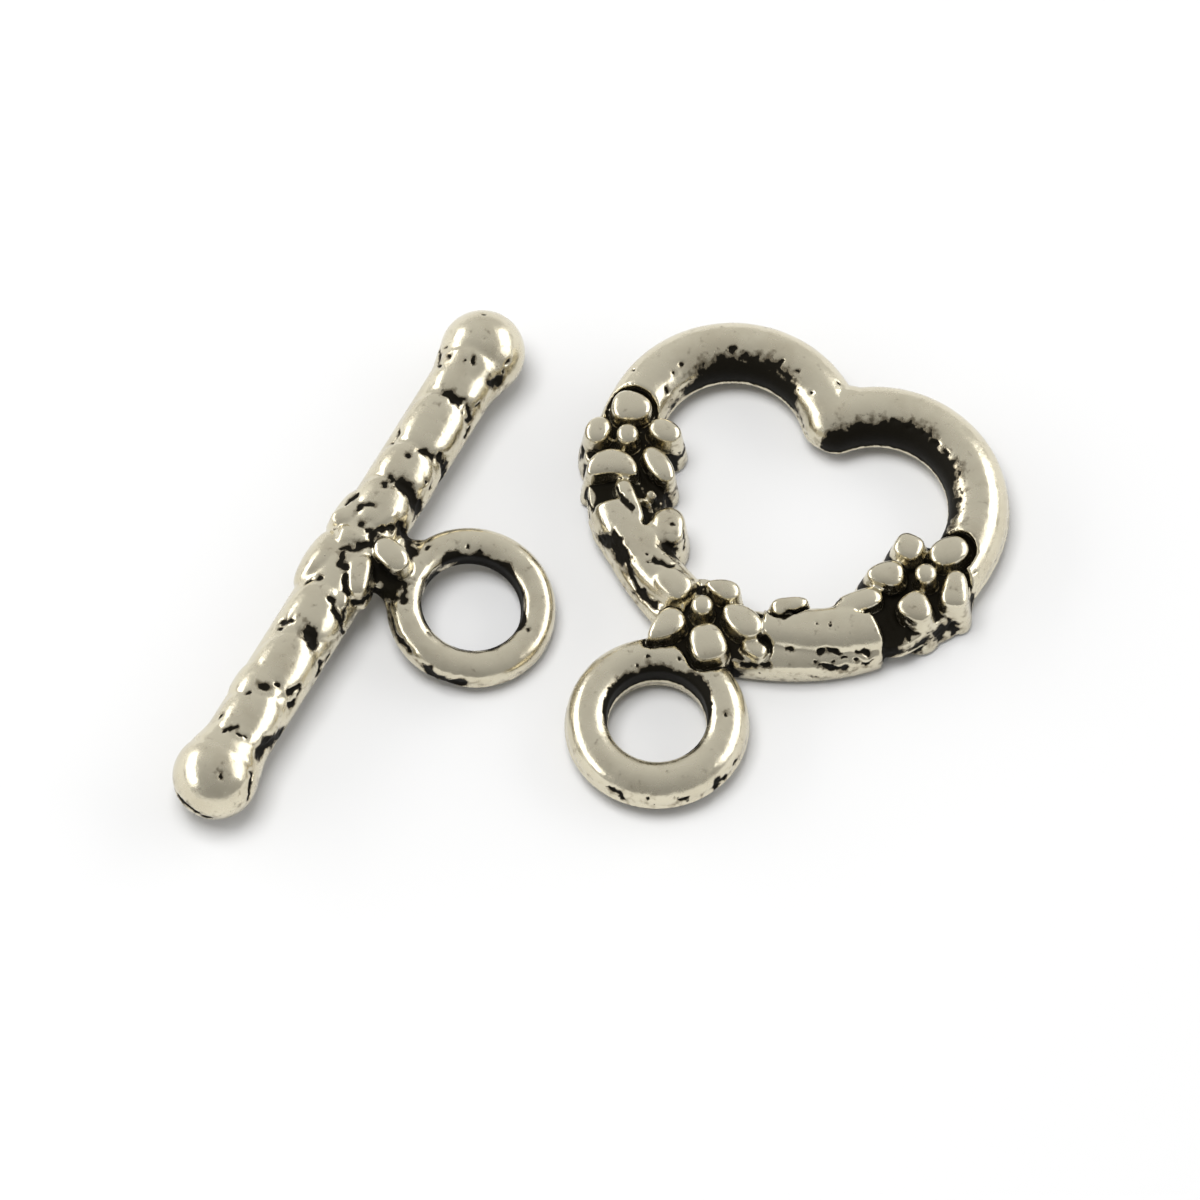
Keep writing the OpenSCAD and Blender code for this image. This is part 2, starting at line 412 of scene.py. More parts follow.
@dataclass(frozen=True)
class Pillow:
    """A cast petal or leaf: a flat-topped pillow with a rounded shoulder and drafted sides down to its foot.

    Its outline in plan is a superellipse about (x, y), length by width, with its length at the heading in
    degrees. Taper widens the far end and narrows the near one, and bend curves the length as a parabola.
    A groove of its own width may run around it. Its top falls by slope per millimetre away from the middle
    that its place is measured from.
    """

    x: float
    y: float
    length: float
    width: float
    heading: float
    top: float
    taper: float = 0.0
    power: float = 2.4
    bend: float = 0.0
    groove: float = 0.0
    shoulder: float = 0.34
    foot: float = 0.12
    slope: float = 0.0
    draft: float = 0.16

    def shell(self, middle: Plan = (0.0, 0.0), sides: int = 72, top_rings: int = 18,
              side_rings: int = 9) -> Shell:
        """The pillow as rings from the middle of its top to the middle of its foot.

        A ring's share of the outline grows over the top as a superellipse to the shoulder's edge, then by
        the draft down the side, and goes back to nothing under the foot.

        Args:
            middle: the plan point that its place is measured from.
            sides: number of points around a ring.
            top_rings: number of rings over its top.
            side_rings: number of rings down its side.

        Returns:
            The pillow's surface.
        """
        turns = np.linspace(0.0, 2.0 * np.pi, sides, endpoint=False)
        c, s = np.cos(turns), np.sin(turns)
        ahead = np.sign(c) * np.abs(c) ** (2.0 / self.power)
        across = np.sign(s) * np.abs(s) ** (2.0 / self.power) * (1.0 + self.taper * ahead)
        lean = np.linspace(0.0, np.pi / 2.0, top_rings)
        dome = np.sin(lean) ** (2.0 / CROWN_POWER)
        fall = self.shoulder * (1.0 - np.cos(lean) ** (2.0 / CROWN_POWER))
        side = np.linspace(0.0, 1.0, side_rings + 1)[1:]
        grow = np.concatenate([np.zeros(len(dome)), self.draft * side, [0.0]])[:, None]
        share = np.concatenate([dome, np.ones(len(side)), [0.0]])[:, None]
        a = (share * self.length / 2.0 + grow) * ahead
        b = (share * self.width / 2.0 + grow) * across
        axis, normal = unit(self.heading), unit(self.heading + 90.0)
        curved = b + self.bend * a * a
        plan = np.array([self.x, self.y]) + a[..., None] * axis + curved[..., None] * normal
        crown = self.top - self.slope * (np.linalg.norm(plan, axis=-1) - np.hypot(self.x, self.y))
        upper = crown[:len(dome)] - fall[:, None]
        lower = upper[-1] + side[:, None] * (self.foot - upper[-1])
        level = np.concatenate([upper, lower, lower[-1:]])
        return Shell(np.concatenate([plan + np.array(middle), level[..., None]], -1))

    def gap(self, plan: np.ndarray, middle: Plan = (0.0, 0.0)) -> np.ndarray:
        """About how far plan points lie outside the top's outline, and negative inside it.

        It is the distance from the pillow's middle, less the part of it that lies within the outline. Very
        near the middle, and at a tapered tip, the shares it divides by are kept from reaching nothing.

        Args:
            plan: the points, one per row.
            middle: the plan point that the pillow's place is measured from.

        Returns:
            One distance per point, in millimetres.
        """
        least_width, least_share = 0.1, 0.2
        arm = plan - np.array(middle) - np.array([self.x, self.y])
        a = arm @ unit(self.heading)
        b = arm @ unit(self.heading + 90.0) - self.bend * a * a
        a = a / (self.length / 2.0)
        widen = np.maximum(1.0 + self.taper * np.clip(a, -1.0, 1.0), least_width)
        b = b / (self.width / 2.0) / widen
        share = (np.abs(a) ** self.power + np.abs(b) ** self.power) ** (1.0 / self.power)
        return (share - 1.0) * np.linalg.norm(arm, axis=-1) / np.maximum(share, least_share)


@dataclass(frozen=True)
class Stroke:
    """A carved or corroded mark: a line through its points, with a half width and a depth.

    Its points lie on the casting, in millimetres.
    """

    points: tuple[Place, ...]
    half_width: float
    depth: float = 0.10

    def nearness(self, points: np.ndarray) -> np.ndarray:
        """How near points are to the line: 1 on it, 1/2 at its half width and 0 far away.

        It is one over one plus the cube of the distance in half widths, for points within a few of them.

        Args:
            points: places in millimetres, one per row.

        Returns:
            One value per point.
        """
        line = np.array(self.points, float)
        gap = np.full(len(points), np.inf)
        reach = 4.0 * self.half_width
        near = np.all((points > line.min(0) - reach) & (points < line.max(0) + reach), axis=1)
        spots = points[near]
        if len(line) == 1:
            gap[near] = np.linalg.norm(spots - line[0], axis=1)
        for a, b in zip(line[:-1], line[1:]):
            t = np.clip((spots - a) @ (b - a) / np.dot(b - a, b - a), 0.0, 1.0)
            gap[near] = np.minimum(gap[near], np.linalg.norm(spots - a - t[:, None] * (b - a), axis=1))
        return 1.0 / (1.0 + (gap / self.half_width) ** 3)


def pits(radius: float, *places: Place) -> tuple[Stroke, ...]:
    """Round pits of one radius at several places."""
    return tuple(Stroke((place,), radius) for place in places)


class Skin:
    """One fused casting: points in millimetres, four-sided faces and the edges between them."""

    def __init__(self, points: np.ndarray, faces: np.ndarray) -> None:
        """Keeps the points and faces, and lists each edge once.

        Args:
            points: places in millimetres, one per row.
            faces: four point indices per row.
        """
        self.points = points
        self.faces = faces
        pairs = np.concatenate([faces[:, [k, (k + 1) % 4]] for k in range(4)])
        self.edges = np.unique(np.sort(pairs, axis=1), axis=0)

    @classmethod
    def fused(cls, shells: list[Shell], grain: float) -> "Skin":
        """The outer skin of overlapping closed forms, as even small faces.

        Args:
            shells: the forms.
            grain: size of the faces in millimetres.

        Returns:
            The skin.
        """
        firsts = np.cumsum([0] + [len(s.points()) for s in shells[:-1]])
        points = np.concatenate([s.points() for s in shells])
        faces = np.concatenate([s.faces(int(n)) for s, n in zip(shells, firsts)])
        mesh = bpy.data.meshes.new("forms")
        mesh.from_pydata(points.tolist(), [], faces.tolist())
        forms = bpy.data.objects.new("forms", mesh)
        bpy.context.scene.collection.objects.link(forms)
        remesh = forms.modifiers.new("skin", "REMESH")
        remesh.mode = "VOXEL"
        remesh.voxel_size = grain
        done = forms.evaluated_get(bpy.context.evaluated_depsgraph_get()).to_mesh()
        skin = np.empty(len(done.vertices) * 3, np.float32)
        done.vertices.foreach_get("co", skin)
        corners = np.empty(len(done.loops), np.int32)
        done.loops.foreach_get("vertex_index", corners)
        bpy.data.objects.remove(forms)
        bpy.data.meshes.remove(mesh)
        return cls(skin.reshape(-1, 3).astype(float), corners.reshape(-1, 4).astype(int))

    def averaged(self, values: np.ndarray) -> np.ndarray:
        """The mean of each point's neighbours.

        Args:
            values: one row per point.

        Returns:
            One row per point.
        """
        a, b = self.edges.T
        count = len(self.points)
        total = np.stack([np.bincount(a, column[b], count) + np.bincount(b, column[a], count)
                          for column in values.T], 1)
        number = np.bincount(a, minlength=count) + np.bincount(b, minlength=count)
        return total / number[:, None]

    def smooth(self, rounds: int, pull: float = 0.5, push: float = 0.52) -> None:
        """Evens the skin without shrinking it: each round pulls in by half, then pushes out a little more.

        Args:
            rounds: number of rounds.
            pull: share of the way to the mean of its neighbours that a point goes.
            push: share that it then goes back.
        """
        for _ in range(rounds):
            for share in (pull, -push):
                self.points = self.points + share * (self.averaged(self.points) - self.points)

    def normals(self) -> np.ndarray:
        """Outward unit vector at each point: the sum of its faces' cross products, made one long.

        Returns:
            One vector per point.
        """
        corner = self.points[self.faces]
        face = np.cross(corner[:, 2] - corner[:, 0], corner[:, 3] - corner[:, 1])
        total = np.stack([np.bincount(self.faces.ravel(), np.repeat(face[:, k], 4), len(self.points))
                          for k in range(3)], 1)
        nearly_nothing = 1e-12
        return total / np.maximum(np.linalg.norm(total, axis=1, keepdims=True), nearly_nothing)

    def hollow(self, rounds: int) -> np.ndarray:
        """How deep each point lies under the skin's own smoothed shape, in millimetres.

        Args:
            rounds: rounds of averaging. The reach grows with their square root.

        Returns:
            One depth per point, negative where the skin stands proud.
        """
        ease = 0.8
        shape = self.points
        for _ in range(rounds):
            shape = shape + ease * (self.averaged(shape) - shape)
        return np.einsum("ij,ij->i", shape - self.points, self.normals())

    def carve(self, strokes: tuple[Stroke, ...], wobble: float = 0.05) -> np.ndarray:
        """Sinks the skin along strokes, with wobbly edges.

        Args:
            strokes: the marks.
            wobble: how far the edges stray, in millimetres.

        Returns:
            How strongly each point is marked, from 0 to 1.
        """
        mark = np.zeros(len(self.points))
        sink = np.zeros(len(self.points))
        stray = np.stack([ripple(self.points, size=0.35, seed=seed) for seed in (5, 6, 7)], 1)
        ragged = self.points + wobble * stray
        for stroke in strokes:
            near = stroke.nearness(ragged)
            mark = np.maximum(mark, near)
            sink = np.maximum(sink, near * stroke.depth)
        self.points = self.points - sink[:, None] * self.normals()
        return mark

    def piece(self, name: str, marks: dict[str, np.ndarray],
              material: bpy.types.Material) -> bpy.types.Object:
        """The finished object, in metres, smooth shaded, with its marks as point attributes.

        Args:
            name: the object's name.
            marks: attribute names and their values, one per point.
            material: its finish.

        Returns:
            The object, linked to the scene.
        """
        mesh = bpy.data.meshes.new(name)
        mesh.vertices.add(len(self.points))
        mesh.vertices.foreach_set("co", (self.points * MM).astype(np.float32).ravel())
        mesh.loops.add(self.faces.size)
        mesh.loops.foreach_set("vertex_index", self.faces.astype(np.int32).ravel())
        mesh.polygons.add(len(self.faces))
        mesh.polygons.foreach_set("loop_start", np.arange(0, self.faces.size, 4, dtype=np.int32))
        mesh.update(calc_edges=True)
        mesh.polygons.foreach_set("use_smooth", np.ones(len(self.faces), bool))
        for attribute, values in marks.items():
            layer = mesh.attributes.new(attribute, "FLOAT", "POINT")
            layer.data.foreach_set("value", values.astype(np.float32))
        mesh.materials.append(material)
        mesh.validate()
        thing = bpy.data.objects.new(name, mesh)
        bpy.context.scene.collection.objects.link(thing)
        self.thin_underside(thing)
        return thing

    def thin_underside(self, thing: bpy.types.Object) -> None:
        """Merges faces on the smooth underside, which shows no detail, and keeps all those above it.

        Args:
            thing: the finished object.
        """
        under = np.flatnonzero(self.points[:, 2] < UNDERSIDE * self.points[:, 2].max())
        group = thing.vertex_groups.new(name="underside")
        group.add(under.tolist(), 1.0, "REPLACE")
        thin = thing.modifiers.new("thin", "DECIMATE")
        thin.vertex_group = group.name
        thin.ratio = MOST_TRIANGLES / (2.0 * len(self.faces))
        done = bpy.data.meshes.new_from_object(thing.evaluated_get(bpy.context.evaluated_depsgraph_get()))
        done.polygons.foreach_set("use_smooth", np.ones(len(done.polygons), bool))
        thing.modifiers.remove(thin)
        thing.vertex_groups.remove(group)
        thing.data = done


@dataclass(frozen=True)
class Wiring:
    """A short way to add and link shader nodes. A value is an output socket or a constant.

    Where a node has several inputs of one name, they are chosen by number.
    """

    tree: bpy.types.NodeTree

    def add(self, kind: str, **settings: object) -> bpy.types.Node:
        """Adds a node.

        Args:
            kind: its type, without the word ShaderNode.
            settings: properties to set on it.

        Returns:
            The node.
        """
        node = self.tree.nodes.new("ShaderNode" + kind)
        for name, value in settings.items():
            setattr(node, name, value)
        return node

    def put(self, node: bpy.types.Node, socket: str | int, value: object) -> None:
        """Feeds a node's input.

        Args:
            node: the node.
            socket: the input's name or number.
            value: what it gets.
        """
        if isinstance(value, bpy.types.NodeSocket):
            self.tree.links.new(value, node.inputs[socket])
        else:
            node.inputs[socket].default_value = value

    def mark(self, name: str) -> bpy.types.NodeSocket:
        """A point attribute's value."""
        return self.add("Attribute", attribute_name=name).outputs["Fac"]

    def math(self, operation: str, a: object, b: object) -> bpy.types.NodeSocket:
        """One arithmetic step.

        Args:
            operation: the Math node's name for it.
            a: first value.
            b: second value.

        Returns:
            The result.
        """
        node = self.add("Math", operation=operation)
        self.put(node, 0, a)
        self.put(node, 1, b)
        return node.outputs[0]

    def grain(self, size: float, detail: float) -> bpy.types.NodeSocket:
        """Noise over the object.

        Args:
            size: its grain in millimetres.
            detail: how many finer layers lie over it.

        Returns:
            Values of about 0 to 1.
        """
        node = self.add("TexNoise")
        self.put(node, "Vector", self.add("TexCoord").outputs["Object"])
        self.put(node, "Scale", 1.0 / (size * MM))
        self.put(node, "Detail", detail)
        return node.outputs["Fac"]

    def ramp(self, value: object, span: Span, bottom: float = 0.0, top: float = 1.0) -> bpy.types.NodeSocket:
        """A smooth rise as a value goes through a span.

        Args:
            value: the value.
            span: where it rises.
            bottom: the result below the span.
            top: the result above it.

        Returns:
            The result.
        """
        node = self.add("MapRange", interpolation_type="SMOOTHSTEP")
        for socket, part in zip(("Value", "From Min", "From Max", "To Min", "To Max"),
                                (value, span.low, span.high, bottom, top)):
            self.put(node, socket, part)
        return node.outputs["Result"]

    def between(self, share: object, first: float, second: float) -> bpy.types.NodeSocket:
        """A value that goes from the first to the second as a share goes from 0 to 1.

        Args:
            share: how much of the second.
            first: the value at 0.
            second: the value at 1.

        Returns:
            The value in between.
        """
        node = self.add("Mix", data_type="FLOAT")
        for socket, part in zip((0, 2, 3), (share, first, second)):
            self.put(node, socket, part)
        return node.outputs[0]

    def blend(self, share: object, first: object, second: object) -> bpy.types.NodeSocket:
        """A colour that goes from the first to the second as a share goes from 0 to 1.

        Args:
            share: how much of the second.
            first: the colour at 0.
            second: the colour at 1.

        Returns:
            The colour in between.
        """
        node = self.add("Mix", data_type="RGBA")
        for socket, part in zip((0, 6, 7), (share, first, second)):
            self.put(node, socket, part)
        return node.outputs[2]


@dataclass(frozen=True)
class AntiqueSilver:
    """Silver plate, dipped in a blackening bath and polished, so that black stays in what lies low; the
    black it reads also holds painted shade.

    Polish, satin and soot are the roughness of its brightest and dullest metal and of its black. A grain is
    a noise's size in millimetres and its detail.
    """

    silver: Colour = (0.72, 0.665, 0.515, 1.0)
    tarnish: Colour = (0.55, 0.49, 0.36, 1.0)
    brown: Colour = (0.19, 0.155, 0.10, 1.0)
    black: Colour = (0.006, 0.005, 0.003, 1.0)
    polish: float = 0.16
    satin: float = 0.30
    soot: float = 0.55
    black_metallic: float = 0.2
    black_gloss: float = 0.08
    # How strongly the casting's oxide and painted shade are counted.
    patina_and_shade_strength: float = 1.4
    # How ragged the edge of the oxide and painted shade is, and how much of it turns brown and black.
    edge_grain: Plan = (0.32, 5.0)
    edge_raggedness: float = 2.0
    browned: Span = Span(0.20, 0.72)
    brown_share: float = 0.85
    blackened: Span = Span(0.60, 0.86)
    # Black specks everywhere, closer together where the oxide and painted shade are faint.
    speck_grain: Plan = (0.16, 2.0)
    speck: Span = Span(0.74, 0.80)
    speck_share: float = 0.75
    speckled: Span = Span(0.03, 0.45)
    speckled_lift: float = 0.22
    # Patches of tarnish, uneven polish and a fine relief.
    tarnish_grain: Plan = (1.3, 4.0)
    tarnished: Span = Span(0.42, 0.75)
    tarnish_share: float = 0.55
    polish_grain: Plan = (0.5, 4.0)
    polished: Span = Span(0.3, 0.7)
    relief_grain: Plan = (0.45, 5.0)
    relief_depth: float = 0.05
    relief_strength: float = 0.35
    black_depth: float = 0.6

    def patina_and_shade(self, wiring: Wiring) -> bpy.types.NodeSocket:
        """The casting's oxide and painted shade, made stronger and given a ragged edge by noise.

        Args:
            wiring: the material's nodes.

        Returns:
            The share of oxide and painted shade.
        """
        noise = wiring.math("SUBTRACT", wiring.grain(*self.edge_grain), 0.5)
        ragged = wiring.math("MULTIPLY", noise, self.edge_raggedness)
        return wiring.math("ADD", wiring.math("MULTIPLY", wiring.mark("patina_and_shade"), self.patina_and_shade_strength), ragged)

    def cover(self, wiring: Wiring, patina_and_shade: bpy.types.NodeSocket) -> bpy.types.NodeSocket:
        """Black where there is much oxide and painted shade, and in small specks, which lie closer together
        near them.

        Args:
            wiring: the material's nodes.
            patina_and_shade: the share of oxide and painted shade.

        Returns:
            The share of black.
        """
        near = wiring.ramp(wiring.mark("patina_and_shade"), self.speckled)
        lift = wiring.math("MULTIPLY", near, self.speckled_lift)
        specks = wiring.ramp(wiring.math("ADD", wiring.grain(*self.speck_grain), lift), self.speck)
        specks = wiring.math("MULTIPLY", specks, self.speck_share)
        return wiring.math("MAXIMUM", wiring.ramp(patina_and_shade, self.blackened), specks)

    def metal(self, wiring: Wiring, patina_and_shade: bpy.types.NodeSocket) -> bpy.types.NodeSocket:
        """Silver, tarnished in patches and brown beside the black.

        Args:
            wiring: the material's nodes.
            patina_and_shade: the share of oxide and painted shade.

        Returns:
            The metal's colour.
        """
        patches = wiring.ramp(wiring.grain(*self.tarnish_grain), self.tarnished)
        dull = wiring.math("MULTIPLY", patches, self.tarnish_share)
        brown = wiring.math("MULTIPLY", wiring.ramp(patina_and_shade, self.browned), self.brown_share)
        return wiring.blend(brown, wiring.blend(dull, self.silver, self.tarnish), self.brown)

    def relief(self, wiring: Wiring, cover: bpy.types.NodeSocket) -> bpy.types.NodeSocket:
        """Fine unevenness of the cast skin, with the black lying a little lower.

        Args:
            wiring: the material's nodes.
            cover: the share of black.

        Returns:
            The surface's normal.
        """
        low = wiring.math("MULTIPLY", cover, self.black_depth)
        bump = wiring.add("Bump")
        wiring.put(bump, "Strength", self.relief_strength)
        wiring.put(bump, "Distance", self.relief_depth * MM)
        wiring.put(bump, "Height", wiring.math("SUBTRACT", wiring.grain(*self.relief_grain), low))
        return bump.outputs["Normal"]

    def material(self, name: str) -> bpy.types.Material:
        """The finish as a material.

        Args:
            name: the material's name.

        Returns:
            A material that reads the point attribute of oxide and painted shade.
        """
        material = bpy.data.materials.new(name)
        material.use_nodes = True
        wiring = Wiring(material.node_tree)
        wiring.tree.nodes.clear()
        # The oxide and painted shade that each casting carries.
        patina_and_shade = self.patina_and_shade(wiring)
        cover = self.cover(wiring, patina_and_shade)
        shine = wiring.ramp(wiring.grain(*self.polish_grain), self.polished, self.polish, self.satin)
        shader = wiring.add("BsdfPrincipled")
        wiring.put(shader, "Base Color", wiring.blend(cover, self.metal(wiring, patina_and_shade), self.black))
        wiring.put(shader, "Metallic", wiring.ramp(cover, SHARE, 1.0, self.black_metallic))
        wiring.put(shader, "Roughness", wiring.between(cover, shine, self.soot))
        wiring.put(shader, "Specular IOR Level", self.black_gloss)
        wiring.put(shader, "Normal", self.relief(wiring, cover))
        output = wiring.add("OutputMaterial")
        wiring.put(output, "Surface", shader.outputs["BSDF"])
        return material


@dataclass(frozen=True)
class Bath:
    """The blackening bath after polishing: black in creases and marks, and a little painted shade on what
    faces sideways or down.

    Creases are found as hollows under the skin's own smoothed shape, narrow ones after a few rounds of
    smoothing and wide ones after many.
    """

    wide: Span
    narrow_rounds: int = 5
    wide_rounds: int = 40
    narrow: Span = Span(0.012, 0.05)
    mark_strength: float = 1.3
    # Painted shade on faces that turn sideways or down, and how far a face must turn for it.
    downward_shade: float = 0.15
    facing: Span = Span(0.0, 0.5)

    def patina_and_shade(self, skin: Skin, mark: np.ndarray, own: np.ndarray) -> np.ndarray:
        """How black each point is.

        Args:
            skin: the casting.
            mark: how strongly each point is carved, from 0 to 1.
            own: black that only this casting has, which on the heart includes painted shade on the inner
                walls.

        Returns:
            The sum, from 0 to 1.
        """
        creases = self.narrow.rise(skin.hollow(self.narrow_rounds))
        creases = creases + self.wide.rise(skin.hollow(self.wide_rounds))
        # Painted shade: faces turned sideways or down are darkened a little, for the dim, shaded table that
        # they reflect.
        downward_shade = self.downward_shade * self.facing.rise(self.facing.high - skin.normals()[:, 2])
        return np.clip(creases + self.mark_strength * mark + downward_shade + own, 0.0, 1.0)


@dataclass(frozen=True)
class Flower:
    """Four or five petals around a bead on a low bed. Their places are measured in plan from the bead."""

    middle: Plan
    petals: tuple[Pillow, ...]
    bead_d: float = 0.80
    bead_top: float = 2.42
    bead_shoulder: float = 0.45
    bed_d: float = 3.0
    groove: float = 0.20

    def bead(self) -> Pillow:
        """The bead, a little pillow that is nearly a half ball."""
        return Pillow(0.0, 0.0, self.bead_d, self.bead_d, 0.0, self.bead_top, power=2.0,
                      shoulder=self.bead_d * self.bead_shoulder, draft=0.12)

    def gap(self, plan: np.ndarray) -> np.ndarray:
        """The least distance of plan points from a petal or the bead."""
        return np.min([form.gap(plan, self.middle) for form in (self.bead(), *self.petals)], axis=0)

    def shells(self) -> list[Shell]:
        """The bead and the petals."""
        return [form.shell(self.middle) for form in (self.bead(), *self.petals)]

    def bed(self, height: float) -> Shell:
        """The low round plate that carries them, with its top at a height."""
        plate = Pillow(0.0, 0.0, self.bed_d, self.bed_d, 0.0, height, power=2.2, shoulder=0.15, draft=0.2)
        return plate.shell(self.middle)


@dataclass
class Heart:
    """The heart-shaped ring with its three flowers, its leaves and its eye. Sizes in millimetres.

    Places are measured from the heart's bottom point, which origin puts into the part's frame. A row of
    petals, leaves or notches is a place, a length and width, a heading, a top, and then, as far as it has
    them, a taper, a power, a bend and a groove. Along the left lobe, the inner wall's painted shade is
    lifted where the wall faces the side lights; the lift fades over a first span and comes back over a
    second. The eye's wall carries the most painted shade at the heading far, in degrees.
    """

    origin: Place
    line: HeartLine = HeartLine()
    lobes: tuple[HeartTube, ...] = (
        HeartTube(Side.LEFT, Section(1.04, 1.05, 0.99), 5.5, 19.3, 0.02, 0.0),
        HeartTube(Side.RIGHT, Section(1.04, 1.05, 0.99), 6.5, 19.3, 0.12, -0.03))
    legs: tuple[HeartTube, ...] = (
        HeartTube(Side.LEFT, Section(0.94, 0.62, 0.99), 0.0, 6.6, -0.14, -0.10),
        HeartTube(Side.RIGHT, Section(1.12, 0.70, 0.99, 6.0), 0.0, 5.6, -0.28, -0.08, 0.06, 0.35))
    sleeves: tuple[HeartTube, ...] = (
        HeartTube(Side.LEFT, Section(0.84, 1.09, 0.90, 2.6, 2.4), 1.9, 5.95, -0.42, -0.02, 0.32, 0.45),
        HeartTube(Side.RIGHT, Section(0.80, 1.10, 0.96, 5.0, 2.6), 2.0, 5.75, -0.52, -0.14, 0.33, 0.35))
    tube_height: float = 0.99
    cleft_fill: Place = (0.35, 10.20, 1.0)
    cleft_fill_d: float = 2.0
    bed_height: float = 1.35
    eye_centre: Plan = (-0.19, -3.65)
    eye_hole: float = 1.76
    eye_wire: Section = Section(0.78, 0.80, 0.97, inner_wall=0.64)
    grain: float = 0.066
    # How far beds, grooves and notches are cut down, and how soft their edges are.
    cut_depth: float = 1.2
    groove_slope: float = 0.12
    bed_end: Span = Span(-0.1, 0.05)
    bed_edge: Span = Span(1.15, 1.3)
    notch_edge: Span = Span(-0.06, 0.06)
    # Where the black stays: in the beds, on the inner walls above their seam, and around the eye's hole. The
    # black on the walls is oxide with painted shade.
    bath: Bath = Bath(wide=Span(0.05, 0.14))
    form_edge: Span = Span(0.05, 0.17)
    bed_top: Span = Span(1.8, 2.0)
    bed_hollow: Span = Span(-0.04, 0.02)
    seam_edge: Span = Span(0.78, 0.86)
    wall_inward: Span = Span(0.10, 1.10)
    wall_start: Span = Span(5.0, 7.0)
    wall_raggedness: float = 0.10
    # Painted shade on the walls: lifted toward the ends of the left lobe, where its wall faces the side
    # lights, and widest on the eye's far side.
    side_lit_start: Span = Span(11.3, 14.0)
    side_lit_end: Span = Span(17.2, 18.6)
    side_lit_lift: float = 0.60
    far: float = 117.0
    far_side: Span = Span(-0.2, 0.8)
    eye_black: float = 0.12
    eye_shade_far: float = 0.33
    # Flowers, leaves, notches, beds and marks.
    right_flower: Flower = Flower((5.80, 5.23), (
        Pillow(-1.03, 0.74, 1.05, 1.00, 0, 2.30, 0.0, 2.8, draft=0.45),
        Pillow(0.28, 1.26, 1.45, 1.10, 52, 2.22, 0.0, 2.2),
        Pillow(1.12, 0.05, 1.45, 0.92, -68, 2.20, 0.22, 2.8),
        Pillow(0.25, -1.24, 1.25, 1.10, -23, 2.24, -0.25, 2.5, draft=0.36),
        Pillow(-1.29, -0.56, 1.35, 0.98, -151, 2.24, -0.30, 2.2, draft=0.48)))
    left_flower: Flower = Flower((-5.95, 5.40), (
        Pillow(-0.40, 1.12, 1.42, 1.18, -162, 2.28, 0.18, 2.2),
        Pillow(1.06, 0.80, 1.22, 0.88, 0, 2.22, 0.0, 2.2, draft=0.22),
        Pillow(1.44, -0.44, 1.60, 0.85, -29, 2.15, 0.0, 2.1),
        Pillow(-0.04, -1.12, 1.80, 1.00, -153, 2.24, 0.0, 2.5, 0.38, draft=0.22),
        Pillow(-1.05, -0.23, 1.10, 0.90, -89, 2.20, 0.0, 2.1, draft=0.22)))
    bottom_flower: Flower = Flower((-0.59, 0.59), (
        Pillow(0.30, 0.99, 1.30, 0.76, 7, 2.20, 0.36, 2.0),
        Pillow(1.45, 0.21, 1.62, 1.06, -13, 2.26, 0.13, 2.0),
        Pillow(0.77, -1.11, 1.45, 1.26, -46, 2.28, 0.10, 2.7),
        Pillow(-0.83, -1.17, 1.55, 0.98, -112, 2.22, -0.35, 2.0)))
    leaves: tuple[Pillow, ...] = (
        Pillow(-1.98, 1.05, 1.45, 1.05, 166, 2.16, -0.10, 2.8),
        Pillow(-3.12, 2.98, 1.55, 1.22, 118, 2.12, 0.0, 2.3, shoulder=0.42, slope=0.10),
        Pillow(-3.42, 2.12, 1.30, 0.80, 118, 2.10, 0.0, 2.6, draft=0.05),
        Pillow(-4.74, 3.20, 1.95, 0.66, 138, 2.10, 0.15, 3.0),
        Pillow(4.11, 3.36, 1.80, 0.85, 49, 2.04, 0.0, 3.0),
        Pillow(2.02, 2.22, 1.35, 0.68, 41, 1.85, -0.30, 2.8, 0.0, 0.15, draft=0.25),
        Pillow(1.66, 0.22, 0.95, 0.68, -5, 1.75, 0.0, 3.0, 0.0, 0.12, draft=0.04),
        Pillow(-4.35, 4.05, 1.30, 0.90, -50, 1.35),
        Pillow(-4.25, 3.86, 0.42, 0.42, 0, 1.82, 0.0, 2.0))
    notches: tuple[Pillow, ...] = (
        Pillow(-4.02, 3.08, 1.05, 0.50, 110, 0.0, 0.75),
        Pillow(4.56, 3.23, 1.10, 0.44, 37, 0.0, 0.75))
    right_beds: tuple[Bed, ...] = (Bed(-3.0, 1.3), Bed(5.75, 8.6))
    left_beds: tuple[Bed, ...] = (Bed(-3.0, 1.15), Bed(6.0, 8.6))
